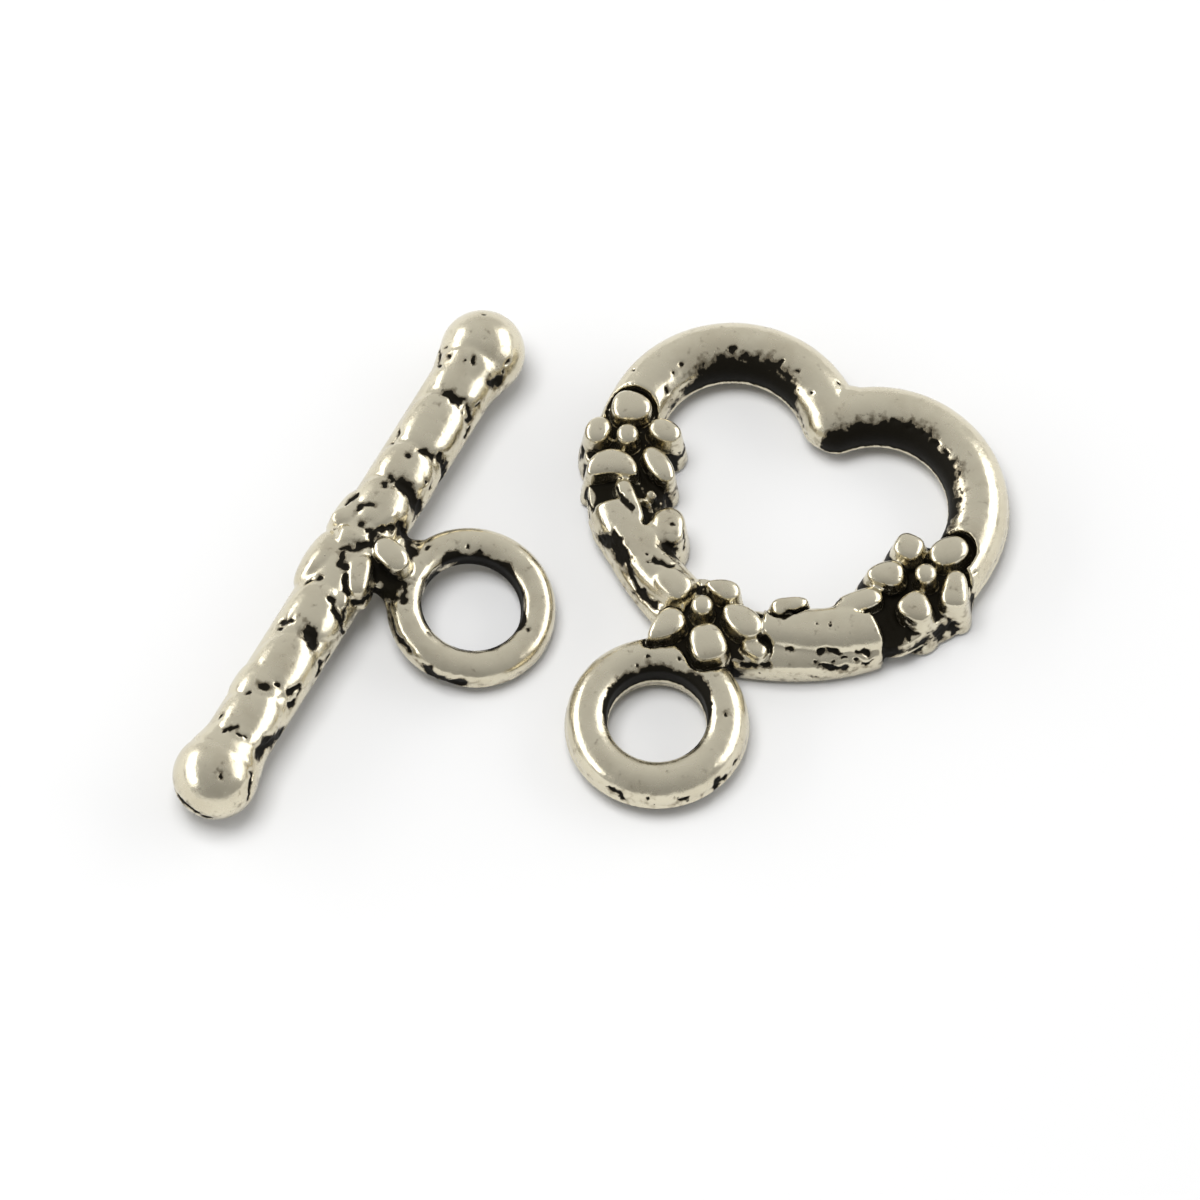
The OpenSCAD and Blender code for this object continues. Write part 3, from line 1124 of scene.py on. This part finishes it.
    strokes: tuple[Stroke, ...] = (
        # Bed beside the left flower.
        Stroke(((-4.6, 4.4, 1.1), (-4.15, 3.95, 1.15)), 0.37, 0.0),
        # Left leg: carved lines, cavity under the lobe, recesses on the outer wall.
        Stroke(((-5.45, 3.55, 1.75), (-5.2, 3.25, 2), (-4.85, 3.05, 2.05), (-4.55, 2.95, 2.05)), 0.08),
        Stroke(((-2.75, 2.2, 1.75), (-2.5, 2.15, 1.7)), 0.24),
        Stroke(((-2.55, 3, 1.9), (-2.4, 2.75, 1.05)), 0.06),
        Stroke(((-3, 1.5, 2.05), (-2.7, 1.45, 2.05), (-2.35, 1.5, 2), (-2.15, 1.85, 1.8)), 0.07),
        Stroke(((-5.1, 1.75, 1.2), (-4.7, 1.65, 1.6), (-4.3, 1.4, 1.65), (-4.05, 1.25, 1.6)), 0.2),
        Stroke(((-4.65, 1.85, 1.85), (-4.15, 1.45, 1.8), (-3.7, 1.1, 1.75), (-3.45, 0.85, 1.45),
                (-3.1, 0.6, 1.3)), 0.13),
        Stroke(((-3.05, 0.5, 1.25), (-2.65, 0.35, 1.3), (-2.2, 0.25, 1.35)), 0.14),
        Stroke(((-6.25, 3, 0.95), (-5.8, 2.45, 1.5)), 0.07),
        *pits(0.07, (-2.95, 2.95, 2.1)),
        *pits(0.06, (-3.2, 1.6, 2.05), (-3.1, 1.3, 2.05)),
        # Right leg: groove under the small leaf, strokes and pits on the outer wall.
        Stroke(((2.1, 1.5, 2.05), (2.4, 2.3, 1.4), (3, 2.6, 1.6), (3.5, 3.05, 1.85)), 0.09),
        Stroke(((3.7, 0.8, 1.35), (3.8, 1.05, 1.45), (3.75, 1.15, 1.55), (3.95, 1.35, 1.6),
                (4.35, 1.45, 1.5)), 0.09),
        Stroke(((4.8, 1.75, 1.5), (5.1, 1.95, 1.4), (5.3, 1.9, 1.25)), 0.08),
        Stroke(((4.25, 1.15, 1.3), (4.6, 1.4, 1.35), (4.95, 1.55, 1.2), (5.25, 1.65, 0.95),
                (5.4, 1.85, 1.05)), 0.06),
        Stroke(((3.95, 0.8, 1.25), (4.4, 1, 1.05), (4.75, 1.25, 1)), 0.09),
        Stroke(((3.65, 2.1, 2.05), (3.8, 1.85, 2.1)), 0.04),
        Stroke(((1.45, -0.35, 1.25), (1.8, -0.25, 1.2), (2.3, 0, 1.2)), 0.1),
        *pits(0.1, (2.75, 0.7, 1.6)),
        *pits(0.06, (3.3, 1.8, 2.05)),
        # Pockets in the walls of the flowers.
        Stroke(((6, 3.4, 1.4), (6.25, 3.05, 1.3)), 0.06),
        Stroke(((5.1, 4.1, 1.3), (5.5, 3.35, 1.25), (5.85, 2.65, 1.25)), 0.24),
        Stroke(((-7.25, 4.65, 1.05), (-6.85, 4.5, 1.3)), 0.12),
        *pits(0.13, (7.15, 4.5, 0.85)),
        *pits(0.12, (6.05, 3.45, 1.75)),
        # Eye: pits along its seam and above its black wall.
        Stroke(((-0.4, -6.75, 1.2), (-0.1, -6.8, 1.2), (0.05, -6.75, 0.95)), 0.09),
        Stroke(((1.75, -6.1, 1.15), (2, -5.9, 1.05)), 0.08),
        Stroke(((2.65, -4.9, 0.8), (2.75, -4.8, 1.15), (2.85, -4.45, 0.9)), 0.1),
        *pits(0.1, (1.95, -2.65, 1.75)),
        *pits(0.08, (2.95, -3.85, 1.1)),
        *pits(0.07, (0.9, -6.55, 1.25)),
        *pits(0.06, (-1.65, -2.25, 1.65), (-1.45, -1.9, 1.75), (-0.4, -1.45, 1.75), (-0.3, -1.05, 1.35)),
        # Cleft and lobes: pits.
        Stroke(((6.75, 6.3, 1.35), (7.15, 6.25, 1.7)), 0.05),
        *pits(0.1, (-4.25, 10.2, 1.9)),
        *pits(0.09, (3.75, 10.2, 1.85), (-5.55, 8.85, 1.9)),
        *pits(0.08, (2.6, 10.3, 1.75)),
        *pits(0.07, (-0.35, 10.75, 1.85), (-1.9, 10.4, 1.95), (2.05, 10.25, 1.85), (4.25, 10, 1.8),
              (-7, 7.9, 1.8)),
        *pits(0.06, (-1, 9.95, 1.9), (-3.8, 10.25, 1.85), (-3.35, 10.3, 1.85), (-2.5, 10.5, 1.95),
              (3.15, 10.25, 1.8), (4.65, 9.65, 1.8), (-5.7, 8.4, 1.9), (-5.6, 7.8, 1.7)))

    def flowers(self) -> tuple[Flower, ...]:
        """The three flowers."""
        return self.right_flower, self.left_flower, self.bottom_flower

    def grooved(self, gap: np.ndarray, width: float) -> np.ndarray:
        """1 within a groove's width of a form, and 0 beyond the groove's sloping side."""
        return Span(width, width + self.groove_slope).fall(gap)

    def sunk(self, plan: np.ndarray) -> np.ndarray:
        """Where the tube is cut down: along the beds, in notches, and in a groove around each petal.

        Args:
            plan: plan points, one per row.

        Returns:
            A share of the full cut for each, from 0 to 1.
        """
        along, outward = self.line.locate(plan)
        left = plan[:, 0] < 0.0
        sunk = np.zeros(len(plan))
        for beds, here in ((self.left_beds, left), (self.right_beds, ~left)):
            for bed in beds:
                sunk = np.maximum(sunk, here * self.bed_end.rise(bed.depth(along)))
        sunk = sunk * self.bed_edge.fall(np.abs(outward))
        for flower in self.flowers():
            sunk = np.maximum(sunk, self.grooved(flower.gap(plan), flower.groove))
        return np.maximum(sunk, self.notched(plan))

    def notched(self, plan: np.ndarray) -> np.ndarray:
        """Where a notch between leaves or the groove around a small leaf is cut.

        Args:
            plan: plan points, one per row.

        Returns:
            A share of the full cut for each, from 0 to 1.
        """
        notched = np.max([self.notch_edge.fall(notch.gap(plan)) for notch in self.notches], axis=0)
        for leaf in self.leaves:
            if leaf.groove > 0.0:
                notched = np.maximum(notched, self.grooved(leaf.gap(plan), leaf.groove))
        return notched

    def ceiling(self, cut: np.ndarray) -> np.ndarray:
        """Greatest height under a cut: the beds' height where it is full, and cut_depth above that at 0."""
        return self.bed_height + self.cut_depth * (1.0 - cut)

    def shells(self) -> list[Shell]:
        """All the forms of the casting.

        Returns:
            Closed forms that overlap.
        """
        tubes = [tube.shell(self.line, self.tube_height) for tube in (*self.lobes, *self.legs)]
        wire = self.eye_wire
        tubes.append(eye_ring(wire, self.eye_hole + wire.inner_wall, self.eye_centre + (self.tube_height,)))
        sleeves = [sleeve.shell(self.line, self.tube_height) for sleeve in self.sleeves]
        forms = [tube.under(lambda plan: self.ceiling(self.sunk(plan))) for tube in tubes]
        forms += [sleeve.under(lambda plan: self.ceiling(self.notched(plan))) for sleeve in sleeves]
        forms.append(ball(self.cleft_fill, self.cleft_fill_d))
        for flower in self.flowers():
            forms += flower.shells()
            forms.append(flower.bed(self.bed_height))
        forms += [leaf.shell() for leaf in self.leaves]
        return forms

    def clear(self, plan: np.ndarray) -> np.ndarray:
        """Where no petal, bead or leaf stands.

        Args:
            plan: plan points, one per row.

        Returns:
            0 on a form and 1 beside it, for each.
        """
        cover = np.min([leaf.gap(plan) for leaf in self.leaves], axis=0)
        for flower in self.flowers():
            cover = np.minimum(cover, flower.gap(plan))
        return self.form_edge.rise(cover)

    def walls(self, points: np.ndarray) -> np.ndarray:
        """Black of the lobes' inner walls and of the eye's wall, with a ragged edge: oxide with painted
        shade.

        Args:
            points: places on the casting, one per row.

        Returns:
            A share of black for each, from 0 to 1.
        """
        along, outward = self.line.locate(points[:, :2])
        ragged = self.wall_raggedness * ripple(points, size=1.6, seed=11)
        # Painted shade is lifted toward the ends of the left lobe, where its inner wall faces the side
        # lights.
        side_lit = np.maximum(self.side_lit_start.fall(along), self.side_lit_end.rise(along)) * (points[:, 0] < 0.0)
        wall = self.wall_inward.rise(-outward + ragged - self.side_lit_lift * side_lit) * self.wall_start.rise(along)
        arm = points[:, :2] - np.array(self.eye_centre)
        eye = np.linalg.norm(arm, axis=1)
        # The eye's wall carries a wider band of painted shade on its far side.
        reach = self.eye_black + self.eye_shade_far * self.far_side.rise(arm @ unit(self.far) / eye)
        return np.maximum(wall, SHARE.rise((self.eye_hole + reach + ragged - eye) / reach))

    def patina_and_shade(self, skin: Skin, mark: np.ndarray) -> np.ndarray:
        """Where the black stays: creases, marks, beds, and the inner walls above their polished seam, whose
        black holds painted shade.

        Args:
            skin: the casting.
            mark: how strongly each point is carved, from 0 to 1.

        Returns:
            A share of black for each point, from 0 to 1.
        """
        plan, height = skin.points[:, :2], skin.points[:, 2]
        wall = self.walls(skin.points) * self.seam_edge.rise(height)
        bed = self.sunk(plan) * self.bed_top.fall(height)
        bed = bed * self.bed_hollow.rise(skin.hollow(self.bath.wide_rounds))
        return self.bath.patina_and_shade(skin, mark, (wall + bed) * self.clear(plan))

    def build(self, finish: bpy.types.Material) -> bpy.types.Object:
        """Fuses, carves and blackens the casting, and puts it in its place.

        Args:
            finish: its material.

        Returns:
            The finished piece, standing for the frame's heart_ring.
        """
        skin = Skin.fused(self.shells(), self.grain)
        skin.smooth(rounds=2)
        patina_and_shade = self.patina_and_shade(skin, skin.carve(self.strokes))
        skin.points = skin.points + np.array(self.origin)
        return skin.piece("heart_casting", {"patina_and_shade": patina_and_shade}, finish)


@dataclass(frozen=True)
class Scale:
    """A leaf scale on the rod: its middle and length along the rod, and its middle around it in degrees."""

    along: float
    length: float
    around: float
    width: float = 2.6
    rise: float = 0.13

    def height(self, along: np.ndarray, around: np.ndarray, radius: float) -> np.ndarray:
        """How far the scale stands above the rod: the upper half of an ellipsoid.

        Args:
            along: places along the rod.
            around: angles around it in radians, from its top towards +X.
            radius: the rod's radius.

        Returns:
            One height for each place.
        """
        away = (np.degrees(around) - self.around + 180.0) % 360.0 - 180.0
        a = 2.0 * (along - self.along) / self.length
        b = 2.0 * np.radians(away) * radius / self.width
        return self.rise * np.sqrt(np.clip(1.0 - a * a - b * b, 0.0, 1.0))


@dataclass
class Bar:
    """The toggle bar: a rod with leaf scales and ball ends, a rubbed-down flower, a neck and an eye.
    Millimetres.

    Its own frame has the middle of the rod at zero, +Y along the rod, +X towards the eye and +Z up. Turn is
    in degrees, clockwise from above. A row of petals is as in the heart.
    """

    middle: Place
    turn: float = 1.95
    length: float = 22.0
    ball_d: float = 3.0
    rod_r: float = 1.18
    eye_reach: float = 4.45
    eye_shift: float = 0.80
    eye_hole: float = 1.79
    eye_wire: Section = Section(0.62, 0.64, 0.62, 2.3, 2.2, inner_wall=0.54, seam=0.05, seam_height=-0.2)
    # The neck: its width at the waist, how it widens, and how far it shifts, stands up and ends short.
    neck_w: float = 2.5
    neck_waist: float = 1.35
    neck_flare: float = 0.90
    neck_flare_reach: float = 0.8
    neck_shift: float = 0.08
    neck_rise: float = 0.95
    neck_short: float = 0.25
    # How the rod swells beside the balls.
    ball_fillet: float = 0.22
    fillet_start: float = 1.7
    fillet_end: float = 0.4
    # The size of the skin's faces, and where the black stays.
    grain: float = 0.065
    bath: Bath = Bath(wide=Span(0.05, 0.16), narrow_rounds=6)
    eye_black: float = 0.20
    eye_edge: Span = Span(0.0, 0.25)
    wall_raggedness: float = 0.10
    scales: tuple[Scale, ...] = (
        Scale(-7.32, 2.1, 10), Scale(-6.06, 1.5, -27), Scale(-4.98, 2.3, 14), Scale(-2.66, 2.0, 7),
        Scale(2.20, 1.8, 2), Scale(3.81, 1.6, 5), Scale(5.77, 2.3, 8), Scale(7.86, 1.9, 8),
        Scale(-0.60, 2.4, -78, 2.2, 0.32), Scale(1.45, 1.8, -72, 2.0, 0.24))
    petals: tuple[Pillow, ...] = (
        Pillow(0.72, -0.68, 1.60, 0.92, -64, 1.24, -0.20, 3.0, shoulder=0.36),
        Pillow(1.32, 0.58, 1.55, 1.02, -18, 1.22, 0.0, 2.3, shoulder=0.36),
        Pillow(0.36, 1.70, 1.25, 0.70, 76, 1.22, 0.29, 3.1),
        Pillow(-0.10, 0.50, 1.20, 0.65, 13, 1.25, -0.43, 4.0),
        Pillow(-0.79, 1.13, 1.11, 0.82, 44, 1.12, 0.0, 1.8),
        Pillow(-0.49, -0.35, 1.41, 0.84, -71, 1.08, 0.0, 2.0),
        Pillow(0.69, -1.78, 0.74, 0.51, -63, 1.12, 0.0, 2.0))
    strokes: tuple[Stroke, ...] = (
        # Near ball and neck.
        Stroke(((-0.1, -8.2, 1.25), (0, -8, 1.25)), 0.08),
        Stroke(((0.2, -8.15, 1.25), (0.5, -8.2, 1.2)), 0.07),
        Stroke(((-1.15, -10.45, -0.15), (-0.75, -10.8, -0.1), (-0.35, -10.95, 0.05), (0.05, -10.95, -0.15),
                (0.5, -10.85, -0.3)), 0.08),
        Stroke(((1.2, -9.1, 0.7), (1.35, -9.5, 0.5), (1.45, -9.8, 0.05)), 0.07),
        Stroke(((1, -8.25, 0.6), (1, -7.75, 0.5), (1.1, -6.95, -0.05)), 0.2),
        *pits(0.12, (0.5, -9.95, 1.3)),
        *pits(0.07, (-0.2, -8.35, 1.25), (-0.7, -7.8, 0.95)),
        # Near half of the rod.
        Stroke(((0.9, -5.75, 0.85), (1, -5.4, 0.8)), 0.08),
        Stroke(((1, -6.1, 0.5), (1.05, -5.85, 0.4)), 0.08),
        Stroke(((-0.6, -3.55, 0.95), (-0.35, -3.4, 1.1)), 0.12),
        Stroke(((0.35, -3.5, 1.15), (0.65, -3.8, 0.9)), 0.2),
        Stroke(((1.15, -4, 0.3), (1.15, -4.3, 0.1)), 0.1),
        Stroke(((1, -5.3, 0.75), (1.1, -5.55, 0.55)), 0.07),
        Stroke(((0.4, -2, 1.2), (0.7, -2.35, 1.05), (1.05, -2.45, 0.65), (1.2, -2.55, 0)), 0.08),
        Stroke(((-0.65, -1.75, 0.9), (-0.3, -1.45, 1.1)), 0.08),
        *pits(0.15, (0.05, -6.2, 1.2)),
        *pits(0.1, (1.2, -3.6, 0.05)),
        *pits(0.09, (-0.6, -3.8, 0.95)),
        *pits(0.08, (-0.3, -6.6, 1.2)),
        *pits(0.07, (0.4, -5.85, 1.15), (1.1, -4.2, 0.2)),
        *pits(0.06, (1.15, -4.75, -0.15)),
        # Flower, neck and the rod beside them.
        Stroke(((-0.1, -0.3, 1.1), (0.15, -0.75, 1.1), (0.4, -1, 1.05), (0.65, -1.35, 0.95)), 0.12),
        Stroke(((1, -1.55, 0.55), (1.25, -1.15, 0.5), (1.25, -0.45, -0.05)), 0.12),
        Stroke(((1.35, 0.05, 0.5), (1.75, -0.05, 0.25)), 0.28),
        Stroke(((1.45, -0.45, -0.1), (1.95, -0.4, 0.1)), 0.2),
        Stroke(((-0.1, 1.05, 1.1), (0.2, 1, 1.1)), 0.12),
        Stroke(((-0.15, -0.1, 1.1), (0.25, 0.2, 1.1), (0.5, 0.5, 1), (0.5, 0.8, 1), (0.5, 1.15, 1),
                (0.8, 1.6, 0.75)), 0.12),
        Stroke(((0.9, 1.85, 0.65), (1.3, 1.8, 0), (1.75, 1.3, 0.25)), 0.18),
        Stroke(((-0.5, 1.6, 1.1), (-0.2, 1.85, 1.2)), 0.11),
        Stroke(((-1, 1.6, 0.9), (-0.85, 2, 0.95)), 0.08),
        Stroke(((1, -2.25, 0.6), (0.9, -1.85, 0.75)), 0.1),
        # Far half of the rod.
        Stroke(((0.35, 3.1, 1.1), (0.8, 2.9, 0.75), (1.05, 2.9, 0.25)), 0.24),
        Stroke(((0, 3.1, 1.2), (-0.15, 2.75, 1.2)), 0.12),
        Stroke(((0.35, 4.55, 1.1), (0.65, 4.65, 0.9)), 0.13),
        Stroke(((0.85, 4.85, 0.7), (1.1, 4.7, 0.15), (1.1, 4.35, -0.35)), 0.14),
        Stroke(((1.1, 6.5, 0.3), (1.15, 6.25, 0.15)), 0.08),
        Stroke(((-0.8, 5, 0.8), (-0.7, 4.6, 0.9)), 0.07),
        Stroke(((0, 7, 1.2), (0.3, 6.85, 1.1), (0.45, 6.85, 1.05)), 0.14),
        Stroke(((0.8, 6.95, 0.75), (0.95, 6.7, 0.55)), 0.13),
        *pits(0.09, (0, 4.05, 1.25)),
        *pits(0.08, (0.55, 7, 1), (0.75, 6.7, 0.9)),
        *pits(0.07, (-0.75, 4.45, 0.85), (1.1, 3.8, 0.4), (0.95, 3.75, 0.85)),
        *pits(0.06, (1.05, 7.35, 0.6), (1.05, 5.9, 0.6)),
        # Far ball.
        Stroke(((1.05, 8.3, 0.75), (1.15, 8.55, 0.55)), 0.17),
        Stroke(((-1.15, 8.55, 0.5), (-0.8, 7.9, 0.9)), 0.08),
        *pits(0.11, (-0.6, 8.3, 1.1), (0.25, 8.45, 1.3)),
        *pits(0.07, (-0.95, 8.65, 0.85), (1.2, 9.2, 0.85), (1.15, 8.9, 0.65)),
        *pits(0.06, (-0.05, 8.35, 1.3), (0.2, 9.3, 1.45), (-0.35, 10.3, 1.15)),
        # Eye.
        Stroke(((4.3, -2.05, -0.45), (4.6, -2.05, -0.7), (5.05, -2, -0.8), (5.55, -1.85, -0.65)), 0.18),
        Stroke(((1.95, -0.7, -0.1), (2.35, -1.15, -0.15), (2.85, -1.6, -0.2), (3.5, -1.9, -0.15)), 0.09),
        Stroke(((2.2, 0.05, 0.25), (2.5, -0.5, 0.25)), 0.12),
        Stroke(((1.7, 1.9, 0), (1.75, 1.4, 0.2)), 0.1),
        *pits(0.09, (6.7, 0.9, -0.3)),
        *pits(0.08, (3, 2.15, 0.05)),
        *pits(0.07, (2.15, 1.7, 0.3), (3.75, 2.6, 0)),
        *pits(0.06, (3.3, 2.5, 0.1), (3.7, -1.1, 0.05)))

    def rod(self, rings: int = 260, sides: int = 96) -> Shell:
        """The rod: a radius that the scales raise and that swells a little where it meets the balls.

        Args:
            rings: number of rings along it.
            sides: number of points around each.

        Returns:
            The rod's surface, with a point at each end.
        """
        reach = (self.length - self.ball_d) / 2.0
        along, around = np.meshgrid(np.linspace(-reach, reach, rings),
                                    np.linspace(0.0, 2.0 * np.pi, sides, endpoint=False), indexing="ij")
        height = np.zeros_like(along)
        for scale in self.scales:
            height = np.maximum(height, scale.height(along, around, self.rod_r))
        swell = Span(reach - self.fillet_start, reach - self.fillet_end).rise(np.abs(along))
        radius = self.rod_r + height + self.ball_fillet * swell
        grid = np.stack([radius * np.sin(around), along, radius * np.cos(around)], -1)
        ends = [np.broadcast_to([0.0, y, 0.0], grid[:1].shape) for y in (-reach, reach)]
        return Shell(np.concatenate([ends[0], grid, ends[1]]))

    def neck(self, rings: int = 40, sides: int = 48) -> Shell:
        """The neck, level: ellipses whose half width grows with the square of the distance from its waist.

        Args:
            rings: number of ellipses along it.
            sides: number of points around each.

        Returns:
            The neck's surface, with a point at each end.
        """
        reach = np.linspace(0.0, self.eye_reach - self.eye_hole - self.neck_short, rings)
        around = np.linspace(0.0, 2.0 * np.pi, sides, endpoint=False)
        away = np.minimum(np.abs(reach - self.neck_waist), self.neck_flare_reach)
        r = self.neck_w / 2.0 + self.neck_flare * away[:, None] ** 2
        across = self.eye_shift - self.neck_shift + r * np.cos(around)
        up = self.neck_rise * self.eye_wire.rise * np.sin(around)
        tube = np.stack(np.broadcast_arrays(reach[:, None], across, up), -1)
        caps = [np.broadcast_to([x, self.eye_shift, 0.0], tube[:1].shape) for x in (reach[0], reach[-1])]
        return Shell(np.concatenate([caps[0], tube, caps[1]]))

    def eye(self) -> list[Shell]:
        """The eye's ring and the neck, tipped about the rod until the ring's far edge meets the surface.

        Returns:
            Both forms.
        """
        bend = self.eye_hole + self.eye_wire.inner_wall
        tip = np.arcsin((self.ball_d / 2.0 - self.eye_wire.rise) / (self.eye_reach + bend))
        c, s = np.cos(tip), np.sin(tip)
        turn = np.array([[c, 0.0, s], [0.0, 1.0, 0.0], [-s, 0.0, c]])
        ring = eye_ring(self.eye_wire, bend, (self.eye_reach, self.eye_shift, 0.0))
        return [form.turned(turn) for form in (ring, self.neck())]

    def turned(self) -> np.ndarray:
        """The matrix that turns the bar's own frame into the part's."""
        c, s = np.cos(np.radians(self.turn)), np.sin(np.radians(self.turn))
        return np.array([[c, s, 0.0], [-s, c, 0.0], [0.0, 0.0, 1.0]])

    def shells(self) -> list[Shell]:
        """All the forms of the casting.

        Returns:
            Closed forms that overlap.
        """
        reach = (self.length - self.ball_d) / 2.0
        forms = [self.rod()] + [ball((0.0, end * reach, 0.0), self.ball_d) for end in (-1.0, 1.0)]
        return forms + self.eye() + [petal.shell() for petal in self.petals]

    def patina_and_shade(self, skin: Skin, mark: np.ndarray) -> np.ndarray:
        """Where the black stays: creases, marks and the wall of the eye, and painted shade on faces turned
        sideways or down.

        Args:
            skin: the casting, in the bar's own frame.
            mark: how strongly each point is carved, from 0 to 1.

        Returns:
            A share of black for each point, from 0 to 1.
        """
        eye = np.linalg.norm(skin.points[:, :2] - np.array([self.eye_reach, self.eye_shift]), axis=1)
        ragged = self.wall_raggedness * ripple(skin.points, size=1.2, seed=21)
        return self.bath.patina_and_shade(skin, mark, self.eye_edge.rise(self.eye_hole + self.eye_black + ragged - eye))

    def build(self, finish: bpy.types.Material) -> bpy.types.Object:
        """Fuses, carves and blackens the casting, and puts it in its place.

        Args:
            finish: its material.

        Returns:
            The finished piece, standing for the frame's toggle_bar.
        """
        skin = Skin.fused(self.shells(), self.grain)
        skin.smooth(rounds=3)
        patina_and_shade = self.patina_and_shade(skin, skin.carve(self.strokes))
        skin.points = skin.points @ self.turned().T + np.array(self.middle)
        return skin.piece("bar_casting", {"patina_and_shade": patina_and_shade}, finish)


@dataclass(frozen=True)
class SoftBox:
    """A soft light that faces the part.

    Toward is its direction from the part, as shares of the view's right, up and backward directions. Its
    size is in metres. White paper in full light has a radiance of about 1. The metal shows its reflection
    if it is mirrored.
    """

    name: str
    toward: Place
    size: Plan
    radiance: float
    mirrored: bool = True


@dataclass(frozen=True)
class Studio:
    """The white table, the soft boxes, the room that the metal reflects, and the camera.

    The camera's angles are in degrees, its lens and sensor, and the width and middle of its view, in
    millimetres. The farthest it sees, the table and the distance of the soft boxes are in metres.
    """

    azimuth: float = 27.03
    elevation: float = 63.0
    lens: float = 500.0
    sensor: float = 36.0
    view_width: float = 41.96
    look_at: Plan = (-0.97, 1.27)
    view_end: float = 10.0
    table_width: float = 1.2
    table_grey: Colour = (0.54, 0.54, 0.54, 1.0)
    table_roughness: float = 0.9
    room_light: float = 0.55
    room_slope: float = 0.19
    box_distance: float = 0.5
    boxes: tuple[SoftBox, ...] = (
        SoftBox("left_box", (-0.88, 0.28, 0.27), (0.80, 0.20), 2.6),
        SoftBox("right_box", (0.84, 0.42, 0.27), (0.60, 0.30), 2.0),
        SoftBox("table_light", (-0.17, 0.49, 0.855), (0.27, 0.27), 12.4, mirrored=False))

    def table(self) -> bpy.types.Object:
        """A wide white table under the part.

        Returns:
            The table, one face at the height of the surface.
        """
        half = self.table_width / 2.0
        corners = [(-half, -half, 0.0), (half, -half, 0.0), (half, half, 0.0), (-half, half, 0.0)]
        mesh = bpy.data.meshes.new("table")
        mesh.from_pydata(corners, [], [(0, 1, 2, 3)])
        material = bpy.data.materials.new("white_table")
        material.use_nodes = True
        shader = material.node_tree.nodes["Principled BSDF"]
        shader.inputs["Base Color"].default_value = self.table_grey
        shader.inputs["Roughness"].default_value = self.table_roughness
        mesh.materials.append(material)
        thing = bpy.data.objects.new("table", mesh)
        bpy.context.scene.collection.objects.link(thing)
        return thing

    def frame_axes(self) -> tuple[Vector, Vector, Vector]:
        """The directions of the camera's view.

        Returns:
            Its right, up and backward unit vectors.
        """
        a, e = np.radians(self.azimuth), np.radians(self.elevation)
        back = Vector((np.sin(a) * np.cos(e), -np.cos(a) * np.cos(e), np.sin(e)))
        right = Vector((np.cos(a), np.sin(a), 0.0))
        return right, back.cross(right), back

    def camera(self) -> None:
        """Adds a long lens that looks down at the part, and makes it the scene's camera."""
        data = bpy.data.cameras.new("camera")
        data.lens = self.lens
        data.sensor_width = self.sensor
        data.clip_end = self.view_end
        right, up, back = self.frame_axes()
        distance = self.view_width * MM / data.sensor_width * self.lens
        target = Vector((self.look_at[0] * MM, self.look_at[1] * MM, 0.0))
        place = target + back * distance
        thing = bpy.data.objects.new("camera", data)
        thing.matrix_world = Matrix((
            (right.x, up.x, back.x, place.x),
            (right.y, up.y, back.y, place.y),
            (right.z, up.z, back.z, place.z),
            (0.0, 0.0, 0.0, 1.0)))
        bpy.context.scene.collection.objects.link(thing)
        bpy.context.scene.camera = thing

    def light(self, box: SoftBox) -> None:
        """Adds a soft box. Its energy is radiance times pi times its area.

        Args:
            box: the soft box.
        """
        right, up, back = self.frame_axes()
        way = (right * box.toward[0] + up * box.toward[1] + back * box.toward[2]).normalized()
        facing = way.to_track_quat("Z", "Y").to_matrix().to_4x4()
        data = bpy.data.lights.new(box.name, "AREA")
        data.shape = "RECTANGLE"
        data.size, data.size_y = box.size
        data.energy = box.radiance * np.pi * box.size[0] * box.size[1]
        thing = bpy.data.objects.new(box.name, data)
        thing.visible_glossy = box.mirrored
        thing.matrix_world = Matrix.Translation(way * self.box_distance) @ facing
        bpy.context.scene.collection.objects.link(thing)

    def room(self) -> None:
        """The room as the metal sees it: grey overhead, lighter beyond the part, darker on this side."""
        world = bpy.data.worlds.new("room")
        world.use_nodes = True
        wiring = Wiring(world.node_tree)
        wiring.tree.nodes.clear()
        split = wiring.add("SeparateXYZ")
        wiring.put(split, 0, wiring.add("TexCoord").outputs["Generated"])
        a = np.radians(self.azimuth)
        forward = wiring.math("ADD", wiring.math("MULTIPLY", split.outputs[0], float(-np.sin(a))),
                              wiring.math("MULTIPLY", split.outputs[1], float(np.cos(a))))
        strength = wiring.math("ADD", wiring.math("MULTIPLY", forward, self.room_slope), self.room_light)
        background = wiring.add("Background")
        wiring.put(background, "Color", (1.0, 1.0, 1.0, 1.0))
        wiring.put(background, "Strength", strength)
        output = wiring.add("OutputWorld")
        wiring.put(output, "Surface", background.outputs[0])
        bpy.context.scene.world = world

    def build(self) -> None:
        """Sets up everything around the part."""
        self.table()
        self.camera()
        self.room()
        for box in self.boxes:
            self.light(box)
        bpy.context.scene.view_settings.view_transform = "Standard"


def main() -> None:
    """Builds the part over its frame, then the studio.

    The heart's eye is put over the frame's mount. The bar lies beside it, resting on its balls.
    """
    logging.basicConfig(level=logging.INFO, format="%(name)s: %(message)s")
    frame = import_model()
    finish = AntiqueSilver().material("antique_silver")
    mounts = {mount["name"]: np.array(mount["pos_m"]) / MM for mount in frame["record"]["mounts"]}
    eye_x, eye_y = mounts["ring_eye"][:2]
    origin = (float(eye_x - Heart.eye_centre[0]), float(eye_y - Heart.eye_centre[1]), 0.0)
    bar_middle = (origin[0] - BAR_LEFT, origin[1] - BAR_NEARER, Bar.ball_d / 2.0)
    for part, node in ((Heart(origin), "heart_ring"), (Bar(bar_middle), "toggle_bar")):
        piece = part.build(finish)
        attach(piece, "root")
        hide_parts(node)
        LOG.info("%s: %d faces", piece.name, len(piece.data.polygons))
    Studio().build()


if __name__ == "__main__":
    main()
